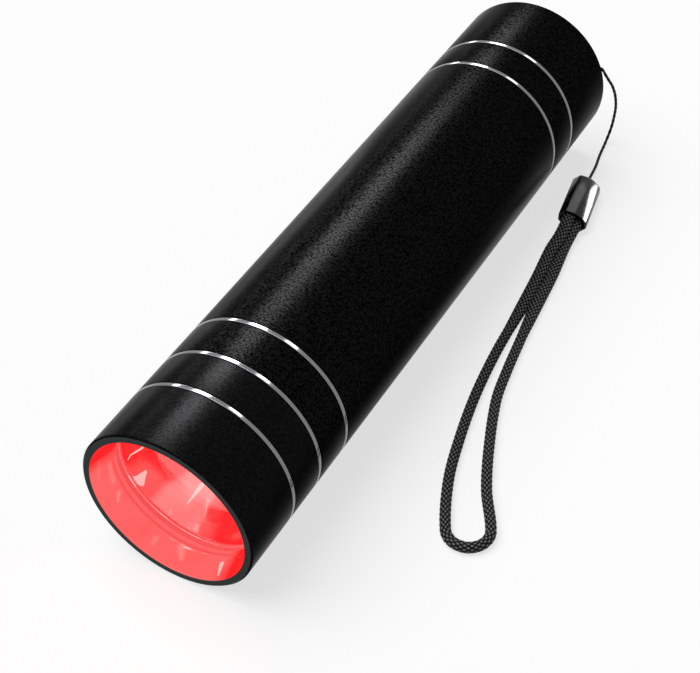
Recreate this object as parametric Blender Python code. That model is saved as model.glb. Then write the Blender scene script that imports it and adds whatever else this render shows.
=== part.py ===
"""Red light therapy wand: a straight aluminium barrel with a recessed lens and reflector at the front,
a rechargeable cell inside, a charging socket under a rubber flap, a push button in the tail and a
wrist strap on a thin cord.

The wand lies on its side along Y, its lens towards -Y and its tail towards +Y, and rests on z = 0.
Lengths are in metres. A station is a distance behind the front face, along the wand's axis.
"""

import math

import bmesh
import bpy
from mathutils import Matrix, Vector

# The whole wand
BARREL_RADIUS = 0.0175
WAND_LENGTH = 0.1480

# Bands of the barrel between its bright rings, from the front face to the tail
MOUTH_BAND = 0.0137
SECOND_BAND = 0.0089
PORT_BAND = 0.0094
CLOSURE_BAND = 0.0090
TAIL_BAND = 0.01765

# Clearances, and the distance within which points are one
MERGE_DISTANCE = 0.000001
GAP = 0.0003
TRIM_GAP = 0.00015
OVERRUN = 0.001

# Flats round a turned piece
OUTER_SIDES = 32
INNER_SIDES = 24
SMALL_SIDES = 20
SEAL_SIDES = 6
DOME_SIDES = 12
DOME_RINGS = 6

# Bright split rings
TRIM_WIDTH = 0.0008
TRIM_DEPTH = 0.0005
TRIM_SLIT = 0.0004
TRIM_SLIT_ANGLE = math.radians(225)

# Bezel with its mouth, lip and lens pocket
OUTER_EDGE = 0.00045
INNER_EDGE = 0.0002
MOUTH_WALL = 0.00164
MOUTH_DEPTH = 0.0055
MOUTH_TAPER = 0.00096
LIP_THICKNESS = 0.0011
BEZEL_WALL = 0.0016
BEZEL_THREAD = 0.0070

# Lens and its gasket
GASKET_RADIUS = 0.00035
LENS_THICKNESS = 0.0016
LENS_EDGE = 0.0003

# Reflector
REFLECTOR_RIM = 0.0010
REFLECTOR_HOLE = 0.0037
REFLECTOR_WALL = 0.0011
BOWL_STEPS = 8

# Light source
LED_RING_RADIUS = 0.0060
LED_RING_HOLE = 0.0029
LED_RING_THICKNESS = 0.0010
LED_BASE_SIDE = 0.0035
LED_BASE_HEIGHT = 0.0014
LED_DOME_RADIUS = 0.0013
LED_BOARD_RADIUS = 0.0080
LED_BOARD_THICKNESS = 0.0012
LED_NOTCH_RADIUS = 0.0013
PILL_THICKNESS = 0.0015
PILL_RIM_HEIGHT = 0.0020
PILL_RIM_WIDTH = 0.0012
PILL_HOLE_RADIUS = 0.0012
WIRE_RADIUS = 0.00045
WIRE_RISE = 0.0010
WIRE_SPACING = 0.0012

# Head between the second and the third bright ring
NECK_BORE_WALL = 0.0045
CAVITY_WALL = 0.0041
LEDGE_THICKNESS = 0.0012
LEDGE_WIDTH = 0.0019

# Charging socket
SOCKET_WIDTH = 0.00894
SOCKET_HEIGHT = 0.00326
SOCKET_LENGTH = 0.0070
SOCKET_WALL = 0.0003
SOCKET_INSET = 0.0025
TONGUE_WIDTH = 0.0067
TONGUE_THICKNESS = 0.0007
TONGUE_INSET = 0.0008
SOCKET_BACK = 0.0010
ARC_STEPS = 6

# Rubber flap over the socket, measured along the barrel's skin from the socket's centre
COVER_THICKNESS = 0.0010
COVER_LAND = 0.0016
COVER_LAP = 0.0022
COVER_MARGIN = 0.00045
COVER_PARTING = 0.00022
ANCHOR_LENGTH = 0.0021
COVER_PLUG_DEPTH = 0.0010
COVER_PLUG_CLEARANCE = 0.0004
COVER_ARC_STEPS = 5
ANCHOR_ARC_STEPS = 2
PEG_RADIUS = 0.0009
PEG_LENGTH = 0.0015

# Electronics in the head
BOARD_THICKNESS = 0.0012
SPACER_LENGTH = 0.0045
SPACER_WALL = 0.0019
DRIVER_RING_THICKNESS = 0.0020
DRIVER_RING_WALL = 0.0031
KEY_SLOT_WIDTH = 0.0018
KEY_SLOT_DEPTH = 0.0009
CHIP_SINK = 0.0002

# Chips of each board, as (x, z, width, depth, height) in shares of its radius
CHARGE_CHIP_SHARES = (
    (0.42, 0.10, 0.30, 0.36, 0.10),
    (0.05, -0.34, 0.28, 0.20, 0.12),
    (0.05, 0.36, 0.22, 0.16, 0.08),
)
DRIVER_CHIP_SHARES = (
    (-0.38, 0.0, 0.44, 0.44, 0.20),
    (0.30, 0.34, 0.30, 0.24, 0.10),
    (0.34, -0.36, 0.26, 0.30, 0.09),
)

# Front contact spring, and the points of a spring's wire in one curl
POINTS_PER_CURL = 9
FRONT_SPRING_LENGTH = 0.0097
FRONT_SPRING_WIDE = 0.0060
FRONT_SPRING_NARROW = 0.0032
FRONT_SPRING_WIRE = 0.0008
FRONT_SPRING_TURNS = 4

# Screwed joints of the tube
SOCKET_SHELL_WALL = 0.0020
HEAD_THREAD = 0.0080
SEAL_RADIUS = 0.00045
SEAL_GROOVE_DEPTH = 0.00085
SEAL_GROOVE_WIDTH = 0.0013
SEAL_OFFSET = 0.0028
THREAD_EDGE = 0.0004

# Battery
BATTERY_RADIUS = 0.0131
BATTERY_LENGTH = 0.0685
WRAP_THICKNESS = 0.00025
WRAP_LIP = 0.0018
CAN_EDGE = 0.0006
CAP_RADIUS = 0.0040
CAP_HEIGHT = 0.0013
CAP_EDGE = 0.0004
INSULATOR_INNER = 0.0050
INSULATOR_THICKNESS = 0.0004

# Tail spring
TAIL_SPRING_FRONT = 0.0055
TAIL_SPRING_REAR = 0.0068
TAIL_SPRING_WIRE = 0.0010
TAIL_SPRING_TURNS = 5

# Tail cap
TAIL_EDGE = 0.0003
RECESS_WALL = 0.0053
RECESS_TAPER = 0.0004
RECESS_DEPTH = 0.0018
END_WALL = 0.0020
SWITCH_CAVITY = 0.0106
SWITCH_THREAD = 0.0132
RETAINER_THICKNESS = 0.0025
RETAINER_WALL = 0.0044

# Switch and button
BUTTON_RADIUS = 0.0062
BUTTON_HOLE = 0.0066
BUTTON_DROP = 0.0005
BUTTON_CROWN = 0.0008
BUTTON_FLANGE = 0.0086
BUTTON_FLANGE_THICKNESS = 0.0016
BUTTON_TRAVEL = 0.0013
BUTTON_STOP_GAP = 0.0007
BUTTON_GROOVE_DEPTH = 0.0007
BUTTON_GROOVE_WIDTH = 0.0011
BUTTON_SEAL_RADIUS = 0.0004
SWITCH_SIDE = 0.0084
SWITCH_HEIGHT = 0.0060
SWITCH_EDGE = 0.0005
SWITCH_PIN_DEPTH = 0.0044
PLUNGER_RADIUS = 0.0015
PLUNGER_CLEARANCE = 0.0004

# Tunnel for the thin cord in the tail's rim
TUNNEL_ANGLE = math.radians(30)
TUNNEL_INSET = 0.0029
TUNNEL_BEND = 0.0020
TUNNEL_RADIUS = 0.00085
TUNNEL_SIDES = 8
TUNNEL_STEPS = 24
KNOT_RADIUS = 0.0010
KNOT_SIDES = 10
KNOT_RINGS = 6

# Lanyard
CORD_DIAMETER = 0.00068
CORD_STEP = 0.0019
STRAP_DIAMETER = 0.0022
STRAP_STEP = 0.0041
ROUTE_FINENESS = 24

# Clip between the thin cord and the strap
FERRULE_LENGTH = 0.0137
FERRULE_WIDTH = 0.0062
FERRULE_HEIGHT = 0.0050
FERRULE_CHAMFER = 0.0011
FERRULE_WALL = 0.0004
FERRULE_POCKET_CHAMFER = 0.00085
FERRULE_POCKET_DEPTH = 0.0060
FERRULE_NOSE_LENGTH = 0.0009
FERRULE_NOSE_SHARE = 0.78
FERRULE_HOLE_RADIUS = 0.00065
FERRULE_HOLE_DEPTH = 0.0016
FERRULE_HEADING = math.radians(9.5)
FERRULE_ROLL = math.radians(45)
FERRULE_NOSE = (0.0215, 0.0597)

# Middle of the thin cord, from the knot through the tail's rim, down to the floor and into the clip
CORD_ROUTE = (
    (0.01164, 0.07400, 0.02653),
    (0.01194, 0.07259, 0.02603),
    (0.01264, 0.07200, 0.02480),
    (0.01335, 0.07259, 0.02358),
    (0.01364, 0.07400, 0.02307),
    (0.01380, 0.07505, 0.02290),
    (0.01460, 0.07585, 0.02250),
    (0.01590, 0.07608, 0.02190),
    (0.01670, 0.07590, 0.02110),
    (0.01730, 0.07620, 0.02000),
    (0.01820, 0.07765, 0.01720),
    (0.01875, 0.07885, 0.01400),
    (0.01880, 0.08005, 0.01050),
    (0.01855, 0.08085, 0.00750),
    (0.01820, 0.08095, 0.00360),
    (0.01805, 0.07905, 0.00090),
    (0.01870, 0.07395, 0.00045),
    (0.01992, 0.06841, 0.00135),
    (0.02109, 0.06187, 0.00300),
    (0.02140, 0.06029, 0.00315),
    (0.02167, 0.05871, 0.00318),
)

# Middle of the strap, out of the clip, round the loop on the floor and back into the clip
STRAP_ROUTE = (
    (0.02210, 0.05098, 0.00403),
    (0.02292, 0.04605, 0.00398),
    (0.02351, 0.04032, 0.00345),
    (0.02343, 0.03597, 0.00275),
    (0.02420, 0.02792, 0.00170),
    (0.02500, 0.01869, 0.00116),
    (0.02528, 0.01491, 0.00113),
    (0.02620, 0.00283, 0.00113),
    (0.02781, -0.00927, 0.00113),
    (0.03030, -0.02110, 0.00113),
    (0.03313, -0.03105, 0.00113),
    (0.03793, -0.04161, 0.00113),
    (0.04028, -0.04344, 0.00113),
    (0.04325, -0.04323, 0.00113),
    (0.04531, -0.04109, 0.00113),
    (0.04542, -0.03812, 0.00113),
    (0.04037, -0.02957, 0.00113),
    (0.03617, -0.02003, 0.00113),
    (0.03192, -0.00811, 0.00113),
    (0.03037, -0.00036, 0.00113),
    (0.02885, 0.00958, 0.00113),
    (0.02807, 0.01527, 0.00113),
    (0.02760, 0.01886, 0.00113),
    (0.02643, 0.02985, 0.00116),
    (0.02508, 0.03935, 0.00155),
    (0.02477, 0.04378, 0.00205),
    (0.02460, 0.04633, 0.00233),
    (0.02377, 0.05126, 0.00233),
)

# Finishes: colour, metallic, roughness and transmission
FINISHES = {
    "black_anodised": ((0.012, 0.012, 0.013), 0.6, 0.45, 0.0),
    "bright_cut": ((0.86, 0.87, 0.88), 1.0, 0.12, 0.0),
    "clear_glass": ((0.97, 0.97, 0.97), 0.0, 0.03, 1.0),
    "red_lit_mirror": ((0.95, 0.03, 0.02), 0.9, 0.15, 0.0),
    "led_silicone": ((1.0, 0.25, 0.18), 0.0, 0.25, 0.0),
    "white_plastic": ((0.80, 0.80, 0.78), 0.0, 0.45, 0.0),
    "board_white": ((0.85, 0.86, 0.85), 0.0, 0.40, 0.0),
    "board_green": ((0.02, 0.16, 0.07), 0.0, 0.40, 0.0),
    "brass": ((0.66, 0.47, 0.18), 1.0, 0.30, 0.0),
    "nickel_steel": ((0.66, 0.66, 0.66), 1.0, 0.28, 0.0),
    "spring_steel": ((0.70, 0.66, 0.58), 1.0, 0.25, 0.0),
    "black_rubber": ((0.018, 0.018, 0.019), 0.0, 0.75, 0.0),
    "red_wire": ((0.55, 0.02, 0.02), 0.0, 0.45, 0.0),
    "black_wire": ((0.02, 0.02, 0.02), 0.0, 0.45, 0.0),
    "cell_wrap": ((0.03, 0.12, 0.35), 0.0, 0.30, 0.0),
    "black_plastic": ((0.02, 0.02, 0.021), 0.0, 0.40, 0.0),
    "ferrule_gloss": ((0.03, 0.03, 0.033), 0.8, 0.15, 0.0),
    "thin_cord": ((0.02, 0.02, 0.02), 0.0, 0.60, 0.0),
    "strap_braid": ((0.02, 0.02, 0.021), 0.0, 0.85, 0.0),
    "cell_can": ((0.70, 0.70, 0.71), 1.0, 0.28, 0.0),
}

# Stations and radii that follow from the sizes above
RING_1 = MOUTH_BAND
RING_2 = RING_1 + SECOND_BAND
RING_3 = RING_2 + PORT_BAND
RING_5 = WAND_LENGTH - TAIL_BAND
RING_4 = RING_5 - CLOSURE_BAND
HALF_GROOVE = TRIM_WIDTH / 2 + TRIM_GAP
TRIM_INNER = BARREL_RADIUS - TRIM_DEPTH
TRIM_SEAT = TRIM_INNER - GAP

BEZEL_BACK = RING_2 - HALF_GROOVE
MOUTH_RADIUS = BARREL_RADIUS - MOUTH_WALL
LIP_RADIUS = MOUTH_RADIUS - MOUTH_TAPER
LIP_BACK = MOUTH_DEPTH + LIP_THICKNESS
LENS_POCKET = BARREL_RADIUS - BEZEL_WALL
POCKET_FIT = LENS_POCKET - GAP
LENS_FRONT = LIP_BACK + 2 * GASKET_RADIUS + 2 * GAP
LENS_BACK = LENS_FRONT + LENS_THICKNESS
NECK_FRONT = BEZEL_BACK - BEZEL_THREAD
NECK_BORE = BARREL_RADIUS - NECK_BORE_WALL

PORT_STATION = (RING_2 + RING_3) / 2
COVER_WIDTH = PORT_BAND - 2 * (HALF_GROOVE + COVER_MARGIN + GAP)
COVER_HINGE_REACH = SOCKET_WIDTH / 2 + COVER_LAND
COVER_FREE_REACH = SOCKET_WIDTH / 2 + COVER_LAP
PILL_BACK = PORT_STATION - SOCKET_HEIGHT / 2 - GAP
PILL_FRONT = PILL_BACK - PILL_THICKNESS
PILL_RADIUS = NECK_BORE - GAP
PILL_HOLE_OFFSET = LED_BOARD_RADIUS + PILL_HOLE_RADIUS + GAP
WIRE_PAD_OFFSET = LED_RING_RADIUS + WIRE_RADIUS + GAP
LED_BOARD_FRONT = PILL_FRONT - GAP - LED_BOARD_THICKNESS
LED_RING_FRONT = LED_BOARD_FRONT - GAP - LED_RING_THICKNESS
REFLECTOR_FRONT = LENS_BACK + GAP
REFLECTOR_BACK = LED_RING_FRONT - GAP
REFLECTOR_MOUTH = POCKET_FIT - REFLECTOR_RIM

CAVITY_RADIUS = BARREL_RADIUS - CAVITY_WALL
BOARD_RADIUS = CAVITY_RADIUS - GAP
LEDGE_FRONT = PILL_BACK + GAP
LEDGE_BACK = LEDGE_FRONT + LEDGE_THICKNESS
CHARGE_BOARD_FRONT = PORT_STATION + SOCKET_HEIGHT / 2 + GAP
CHARGE_BOARD_BACK = CHARGE_BOARD_FRONT + BOARD_THICKNESS
DRIVER_BOARD_FRONT = CHARGE_BOARD_BACK + SPACER_LENGTH + 2 * GAP
DRIVER_BOARD_BACK = DRIVER_BOARD_FRONT + BOARD_THICKNESS

NECK_RADIUS = BARREL_RADIUS - SOCKET_SHELL_WALL - GAP
SHELL_BORE = BARREL_RADIUS - SOCKET_SHELL_WALL
SEAL_FLOOR = NECK_RADIUS - SEAL_GROOVE_DEPTH
HEAD_NECK_BACK = RING_3 + HALF_GROOVE + HEAD_THREAD

BATTERY_BORE = BATTERY_RADIUS + GAP
FRONT_SPRING_START = DRIVER_BOARD_BACK + GAP
BATTERY_FRONT = FRONT_SPRING_START + FRONT_SPRING_LENGTH + GAP
BATTERY_BACK = BATTERY_FRONT + BATTERY_LENGTH
CAN_FRONT = BATTERY_FRONT + CAP_HEIGHT + GAP
CAN_BACK = BATTERY_BACK - WRAP_THICKNESS - GAP
CAN_RADIUS = BATTERY_RADIUS - WRAP_THICKNESS - GAP

RECESS_RADIUS = BARREL_RADIUS - RECESS_WALL
RECESS_FLOOR = WAND_LENGTH - RECESS_DEPTH
END_WALL_FRONT = RECESS_FLOOR - END_WALL
FLANGE_BACK = END_WALL_FRONT - GAP
FLANGE_FRONT = FLANGE_BACK - BUTTON_FLANGE_THICKNESS
SWITCH_BACK = FLANGE_FRONT - BUTTON_TRAVEL - BUTTON_STOP_GAP
SWITCH_FRONT = SWITCH_BACK - SWITCH_HEIGHT
SWITCH_BOARD_BACK = SWITCH_FRONT - GAP
SWITCH_BOARD_FRONT = SWITCH_BOARD_BACK - BOARD_THICKNESS
RETAINER_BACK = SWITCH_BOARD_FRONT - GAP
RETAINER_FRONT = RETAINER_BACK - RETAINER_THICKNESS
TUBE_NECK_BACK = RETAINER_FRONT - GAP

TURN = 2 * math.pi
FLAT_DOWN = -math.pi / 2
PORT_SIDE = math.pi
SMOOTH_ANGLE = math.radians(28)


def clear_scene():
    """Empties the scene of every object."""
    for obj in list(bpy.data.objects):
        bpy.data.objects.remove(obj, do_unlink=True)


def finish(name):
    """The material of that name, made once from its colour, metallic, roughness and transmission."""
    made = bpy.data.materials.get(name)
    if made:
        return made
    colour, metallic, roughness, transmission = FINISHES[name]
    made = bpy.data.materials.new(name)
    made.use_nodes = True
    shader = made.node_tree.nodes["Principled BSDF"]
    shader.inputs["Base Color"].default_value = (*colour, 1)
    shader.inputs["Metallic"].default_value = metallic
    shader.inputs["Roughness"].default_value = roughness
    shader.inputs["Transmission Weight"].default_value = transmission
    return made


def empty(name, location, parent=None):
    """An empty that carries pieces."""
    holder = bpy.data.objects.new(name, None)
    holder.location = location
    holder.parent = parent
    bpy.context.scene.collection.objects.link(holder)
    return holder


def placed(name, data, location=(0, 0, 0), parent=None, material=None):
    """An object of that mesh or curve, in its place, with its finish."""
    obj = bpy.data.objects.new(name, data)
    obj.location = location
    obj.parent = parent
    if material:
        data.materials.append(finish(material))
    bpy.context.scene.collection.objects.link(obj)
    return obj


def mesh_of(name, bm, smooth=True):
    """A mesh from the bmesh, closed, facing out, and smooth across its small angles."""
    bmesh.ops.remove_doubles(bm, verts=bm.verts, dist=MERGE_DISTANCE)
    bmesh.ops.recalc_face_normals(bm, faces=bm.faces)
    mesh = bpy.data.meshes.new(name)
    bm.to_mesh(mesh)
    bm.free()
    if smooth:
        mesh.shade_smooth()
        mesh.set_sharp_from_angle(angle=SMOOTH_ANGLE)
    return mesh


def turned_mesh(name, profile, sides):
    """Turns a closed outline of (radius, station) points about Y, with a flat facing down.

    The radii are those of the flats, so that the turned piece rests on its own true radius.
    """
    bm = bmesh.new()
    corner = 1 / math.cos(math.pi / sides)
    start = FLAT_DOWN + math.pi / sides
    points = [
        bm.verts.new((r * corner * math.cos(start), station, r * corner * math.sin(start)))
        for r, station in profile
    ]
    edges = [bm.edges.new((a, b)) for a, b in zip(points, points[1:] + points[:1])]
    bmesh.ops.spin(
        bm, geom=points + edges, cent=(0, 0, 0), axis=(0, -1, 0), angle=TURN, steps=sides, use_merge=True
    )
    return mesh_of(name, bm)


def turned(name, profile, material, parent, sides=OUTER_SIDES):
    """A turned piece on the wand's axis."""
    return placed(name, turned_mesh(name, profile, sides), parent=parent, material=material)


def arc_mesh(name, profile, start, end, steps):
    """Turns a closed outline of (radius, station) points only from one angle to another."""
    bm = bmesh.new()
    corner = 1 / math.cos((end - start) / steps / 2)
    points = [
        bm.verts.new((r * corner * math.cos(start), station, r * corner * math.sin(start)))
        for r, station in profile
    ]
    face = bm.faces.new(points)
    bmesh.ops.spin(
        bm, geom=[face], cent=(0, 0, 0), axis=(0, -1, 0), angle=end - start, steps=steps, use_merge=False
    )
    return mesh_of(name, bm)


def ring_section(radius, station, section):
    """The outline of a round section, as for a seal ring."""
    turns = [TURN * (i + 0.5) / SEAL_SIDES for i in range(SEAL_SIDES)]
    return [(radius + section * math.cos(a), station + section * math.sin(a)) for a in turns]


def band(inner, outer, front, back):
    """The outline of a plain ring."""
    return [(inner, front), (outer, front), (outer, back), (inner, back)]


def polar(radius, angle, station):
    """The point at that radius, angle and station, from the wand's axis at its front face."""
    return Vector((radius * math.cos(angle), station, radius * math.sin(angle)))


def block_mesh(name, size):
    """A box about its own centre."""
    bm = bmesh.new()
    bmesh.ops.create_cube(bm, size=1)
    bmesh.ops.scale(bm, vec=size, verts=bm.verts)
    return mesh_of(name, bm, smooth=False)


def rod_mesh(name, radius, length, sides=SMALL_SIDES, direction=(0, 1, 0)):
    """A round rod about its own centre, along the direction."""
    bm = bmesh.new()
    turn = Vector(direction).to_track_quat("Z", "Y").to_matrix().to_4x4()
    bmesh.ops.create_cone(
        bm, cap_ends=True, segments=sides, radius1=radius, radius2=radius, depth=length, matrix=turn
    )
    return mesh_of(name, bm)


def stadium_mesh(name, width, height, length):
    """A bar of stadium section: width along Z, height along Y, and length along X from its own origin."""
    radius = height / 2
    reach = width / 2 - radius
    outline = []
    for side in (1, -1):
        for step in range(ARC_STEPS + 1):
            angle = math.pi * step / ARC_STEPS
            outline.append((side * radius * math.cos(angle), side * (reach + radius * math.sin(angle))))
    bm = bmesh.new()
    face = bm.faces.new([bm.verts.new((0, y, z)) for y, z in outline])
    grown = bmesh.ops.extrude_face_region(bm, geom=[face])
    moved = [v for v in grown["geom"] if isinstance(v, bmesh.types.BMVert)]
    bmesh.ops.translate(bm, vec=(length, 0, 0), verts=moved)
    return mesh_of(name, bm)


def operand(name, data, location, parent):
    """A shape that only cuts or joins another piece, left out of the model itself."""
    shape = placed(name, data, location, parent)
    shape.hide_render = True
    shape.display_type = "WIRE"
    return shape


def combine(piece, shape, operation):
    """Cuts the shape out of the piece, or joins it on."""
    modifier = piece.modifiers.new(shape.name, "BOOLEAN")
    modifier.operation = operation
    modifier.object = shape


def cut(piece, shape):
    """Cuts the shape out of the piece."""
    combine(piece, shape, "DIFFERENCE")


def join(piece, shape):
    """Joins the shape onto the piece."""
    combine(piece, shape, "UNION")


def smooth_route(points, step, fineness=ROUTE_FINENESS):
    """Evenly spaced points, about a step apart, on a smooth curve through the route's own points."""
    route = [Vector(p) for p in points]
    padded = [2 * route[0] - route[1], *route, 2 * route[-1] - route[-2]]
    fine = []
    for before, here, ahead, after in zip(padded, padded[1:], padded[2:], padded[3:]):
        span = (ahead - here).length
        leave = (ahead - before) * (span / ((here - before).length + span))
        arrive = (after - here) * (span / ((after - ahead).length + span))
        for i in range(fineness):
            t = i / fineness
            fine.append(
                here * (2 * t**3 - 3 * t**2 + 1)
                + leave * (t**3 - 2 * t**2 + t)
                + ahead * (3 * t**2 - 2 * t**3)
                + arrive * (t**3 - t**2)
            )
    fine.append(route[-1])
    travelled = [0.0]
    for a, b in zip(fine, fine[1:]):
        travelled.append(travelled[-1] + (b - a).length)
    count = max(2, round(travelled[-1] / step))
    even = []
    at = 0
    for i in range(count + 1):
        wanted = travelled[-1] * i / count
        while at < len(fine) - 2 and travelled[at + 1] < wanted:
            at += 1
        share = (wanted - travelled[at]) / (travelled[at + 1] - travelled[at])
        even.append(fine[at].lerp(fine[at + 1], share))
    return even, travelled[-1]


def tube(name, points, radius, material, parent=None, resolution=2):
    """A round tube with closed ends along the points."""
    curve = bpy.data.curves.new(name, "CURVE")
    curve.dimensions = "3D"
    curve.bevel_depth = radius
    curve.bevel_resolution = resolution
    curve.use_fill_caps = True
    spline = curve.splines.new("POLY")
    spline.points.add(len(points) - 1)
    for spot, point in zip(spline.points, points):
        spot.co = (*point, 1)
    return placed(name, curve, parent=parent, material=material)


def bright_ring(name, station, parent):
    """A polished split ring that snaps into its groove, its slit on the hidden side."""
    profile = band(TRIM_INNER, BARREL_RADIUS, station - TRIM_WIDTH / 2, station + TRIM_WIDTH / 2)
    ring = turned(name, profile, "bright_cut", parent)
    size = (2 * TRIM_DEPTH + 2 * OVERRUN, TRIM_WIDTH + 2 * OVERRUN, TRIM_SLIT)
    label = f"{name}_slit"
    slit = operand(label, block_mesh(label, size), polar(BARREL_RADIUS, TRIM_SLIT_ANGLE, station), parent)
    slit.rotation_euler.y = -TRIM_SLIT_ANGLE
    cut(ring, slit)


def make_bright_rings(axis):
    """The three rings of the front and the two of the rear."""
    for number, station in enumerate((RING_1, RING_2, RING_3), 1):
        bright_ring(f"front_trim_ring_{number}", station, axis)
    for number, station in enumerate((RING_4, RING_5), 1):
        bright_ring(f"rear_trim_ring_{number}", station, axis)


def make_bezel(axis):
    """Front sleeve: a tapered mouth that ends in the lip over the lens, and a threaded skirt."""
    turned(
        "bezel",
        [
            (BARREL_RADIUS - OUTER_EDGE, 0),
            (BARREL_RADIUS, OUTER_EDGE),
            (BARREL_RADIUS, RING_1 - HALF_GROOVE),
            (TRIM_SEAT, RING_1 - HALF_GROOVE),
            (TRIM_SEAT, RING_1 + HALF_GROOVE),
            (BARREL_RADIUS, RING_1 + HALF_GROOVE),
            (BARREL_RADIUS, BEZEL_BACK),
            (LENS_POCKET, BEZEL_BACK),
            (LENS_POCKET, LIP_BACK),
            (LIP_RADIUS, LIP_BACK),
            (LIP_RADIUS, MOUTH_DEPTH),
            (MOUTH_RADIUS, INNER_EDGE),
            (MOUTH_RADIUS + INNER_EDGE, 0),
        ],
        "black_anodised",
        axis,
    )


def make_lens(axis):
    """Clear window behind the lip, and the gasket between them."""
    turned(
        "lens_gasket",
        ring_section(POCKET_FIT - GASKET_RADIUS, LIP_BACK + GAP + GASKET_RADIUS, GASKET_RADIUS),
        "black_rubber",
        axis,
        INNER_SIDES,
    )
    turned(
        "front_lens",
        [
            (0, LENS_FRONT),
            (POCKET_FIT - LENS_EDGE, LENS_FRONT),
            (POCKET_FIT, LENS_FRONT + LENS_EDGE),
            (POCKET_FIT, LENS_BACK - LENS_EDGE),
            (POCKET_FIT - LENS_EDGE, LENS_BACK),
            (0, LENS_BACK),
        ],
        "clear_glass",
        axis,
        INNER_SIDES,
    )


def bowl_radius(station):
    """Radius of the reflector's parabola at a station, between its mouth and its hole."""
    depth = REFLECTOR_BACK - REFLECTOR_FRONT
    four_focus = (REFLECTOR_MOUTH**2 - REFLECTOR_HOLE**2) / depth
    return math.sqrt(REFLECTOR_HOLE**2 + four_focus * (REFLECTOR_BACK - station))


def make_reflector(axis):
    """Parabolic bowl with a skirt that stands on the head's neck and a hole for the LED."""
    skirt_back = NECK_FRONT - GAP
    inner = [
        REFLECTOR_FRONT + (REFLECTOR_BACK - REFLECTOR_FRONT) * i / BOWL_STEPS for i in range(BOWL_STEPS + 1)
    ]
    outer = [
        skirt_back + (REFLECTOR_BACK - skirt_back) * i / BOWL_STEPS for i in range(0, BOWL_STEPS + 1, 2)
    ]
    profile = [(bowl_radius(station), station) for station in reversed(inner)]
    profile += [(POCKET_FIT, REFLECTOR_FRONT), (POCKET_FIT, skirt_back)]
    profile += [(bowl_radius(station) + REFLECTOR_WALL, station) for station in outer]
    turned("reflector", profile, "red_lit_mirror", axis, INNER_SIDES)


def make_light_source(axis):
    """LED with its dome, the ring that centres it, its board, the brass pill and the two leads."""
    turned(
        "led_centering_ring",
        band(LED_RING_HOLE, LED_RING_RADIUS, LED_RING_FRONT, LED_RING_FRONT + LED_RING_THICKNESS),
        "white_plastic",
        axis,
        SMALL_SIDES,
    )
    base_back = LED_BOARD_FRONT - GAP
    base_front = base_back - LED_BASE_HEIGHT
    base_size = (LED_BASE_SIDE, LED_BASE_HEIGHT, LED_BASE_SIDE)
    middle = (0, base_back - LED_BASE_HEIGHT / 2, 0)
    led = placed("led_emitter", block_mesh("led_emitter", base_size), middle, axis, "led_silicone")
    bm = bmesh.new()
    bmesh.ops.create_uvsphere(bm, u_segments=DOME_SIDES, v_segments=DOME_RINGS, radius=LED_DOME_RADIUS)
    join(led, operand("led_dome", mesh_of("led_dome", bm), (0, base_front, 0), axis))

    board = turned(
        "led_board",
        band(0, LED_BOARD_RADIUS, LED_BOARD_FRONT, LED_BOARD_FRONT + LED_BOARD_THICKNESS),
        "board_white",
        axis,
        INNER_SIDES,
    )
    pill_rim_front = PILL_FRONT - PILL_RIM_HEIGHT
    pill_rim_inner = PILL_RADIUS - PILL_RIM_WIDTH
    pill = turned(
        "heat_sink_pill",
        [
            (0, PILL_FRONT),
            (pill_rim_inner, PILL_FRONT),
            (pill_rim_inner, pill_rim_front),
            (PILL_RADIUS, pill_rim_front),
            (PILL_RADIUS, PILL_BACK),
            (0, PILL_BACK),
        ],
        "brass",
        axis,
        INNER_SIDES,
    )
    for sign, pole in ((1, "positive"), (-1, "negative")):
        notch = rod_mesh(f"led_notch_{pole}", LED_NOTCH_RADIUS, LED_BOARD_THICKNESS + 2 * OVERRUN)
        notch_middle = (sign * LED_BOARD_RADIUS, LED_BOARD_FRONT + LED_BOARD_THICKNESS / 2, 0)
        cut(board, operand(notch.name, notch, notch_middle, axis))
        hole = rod_mesh(f"pill_hole_{pole}", PILL_HOLE_RADIUS, PILL_THICKNESS + 2 * OVERRUN)
        hole_middle = (0, PILL_FRONT + PILL_THICKNESS / 2, sign * PILL_HOLE_OFFSET)
        cut(pill, operand(hole.name, hole, hole_middle, axis))
        make_led_wire(axis, sign, pole)


def make_led_wire(axis, sign, pole):
    """A lead from its pad on the LED board, through the pill, to the charge board."""
    pad = LED_BOARD_FRONT - GAP
    straight = pad - 2 * WIRE_RADIUS
    bend = (WIRE_PAD_OFFSET + PILL_HOLE_OFFSET) / 2
    route = [
        (0, pad, sign * WIRE_PAD_OFFSET),
        (0, straight, sign * WIRE_PAD_OFFSET),
        (0, straight - WIRE_RISE, sign * bend),
        (0, straight, sign * PILL_HOLE_OFFSET),
        (0, pad, sign * PILL_HOLE_OFFSET),
        (0, PILL_BACK, sign * PILL_HOLE_OFFSET),
        (0, CHARGE_BOARD_FRONT - GAP, sign * PILL_HOLE_OFFSET),
    ]
    points, _ = smooth_route(route, WIRE_SPACING)
    material = "red_wire" if sign > 0 else "black_wire"
    tube(f"led_wire_{pole}", points, WIRE_RADIUS, material, axis, resolution=1)


def seal_groove(front):
    """The outline of a seal's groove on a neck, from front to back."""
    back = front + SEAL_GROOVE_WIDTH
    return [(NECK_RADIUS, front), (SEAL_FLOOR, front), (SEAL_FLOOR, back), (NECK_RADIUS, back)]


def make_seal(name, groove_front, axis):
    """A seal ring midway between the groove's floor and the bore round it."""
    middle = groove_front + SEAL_GROOVE_WIDTH / 2
    section = ring_section((SEAL_FLOOR + SHELL_BORE) / 2, middle, SEAL_RADIUS)
    turned(name, section, "black_rubber", axis)


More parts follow.
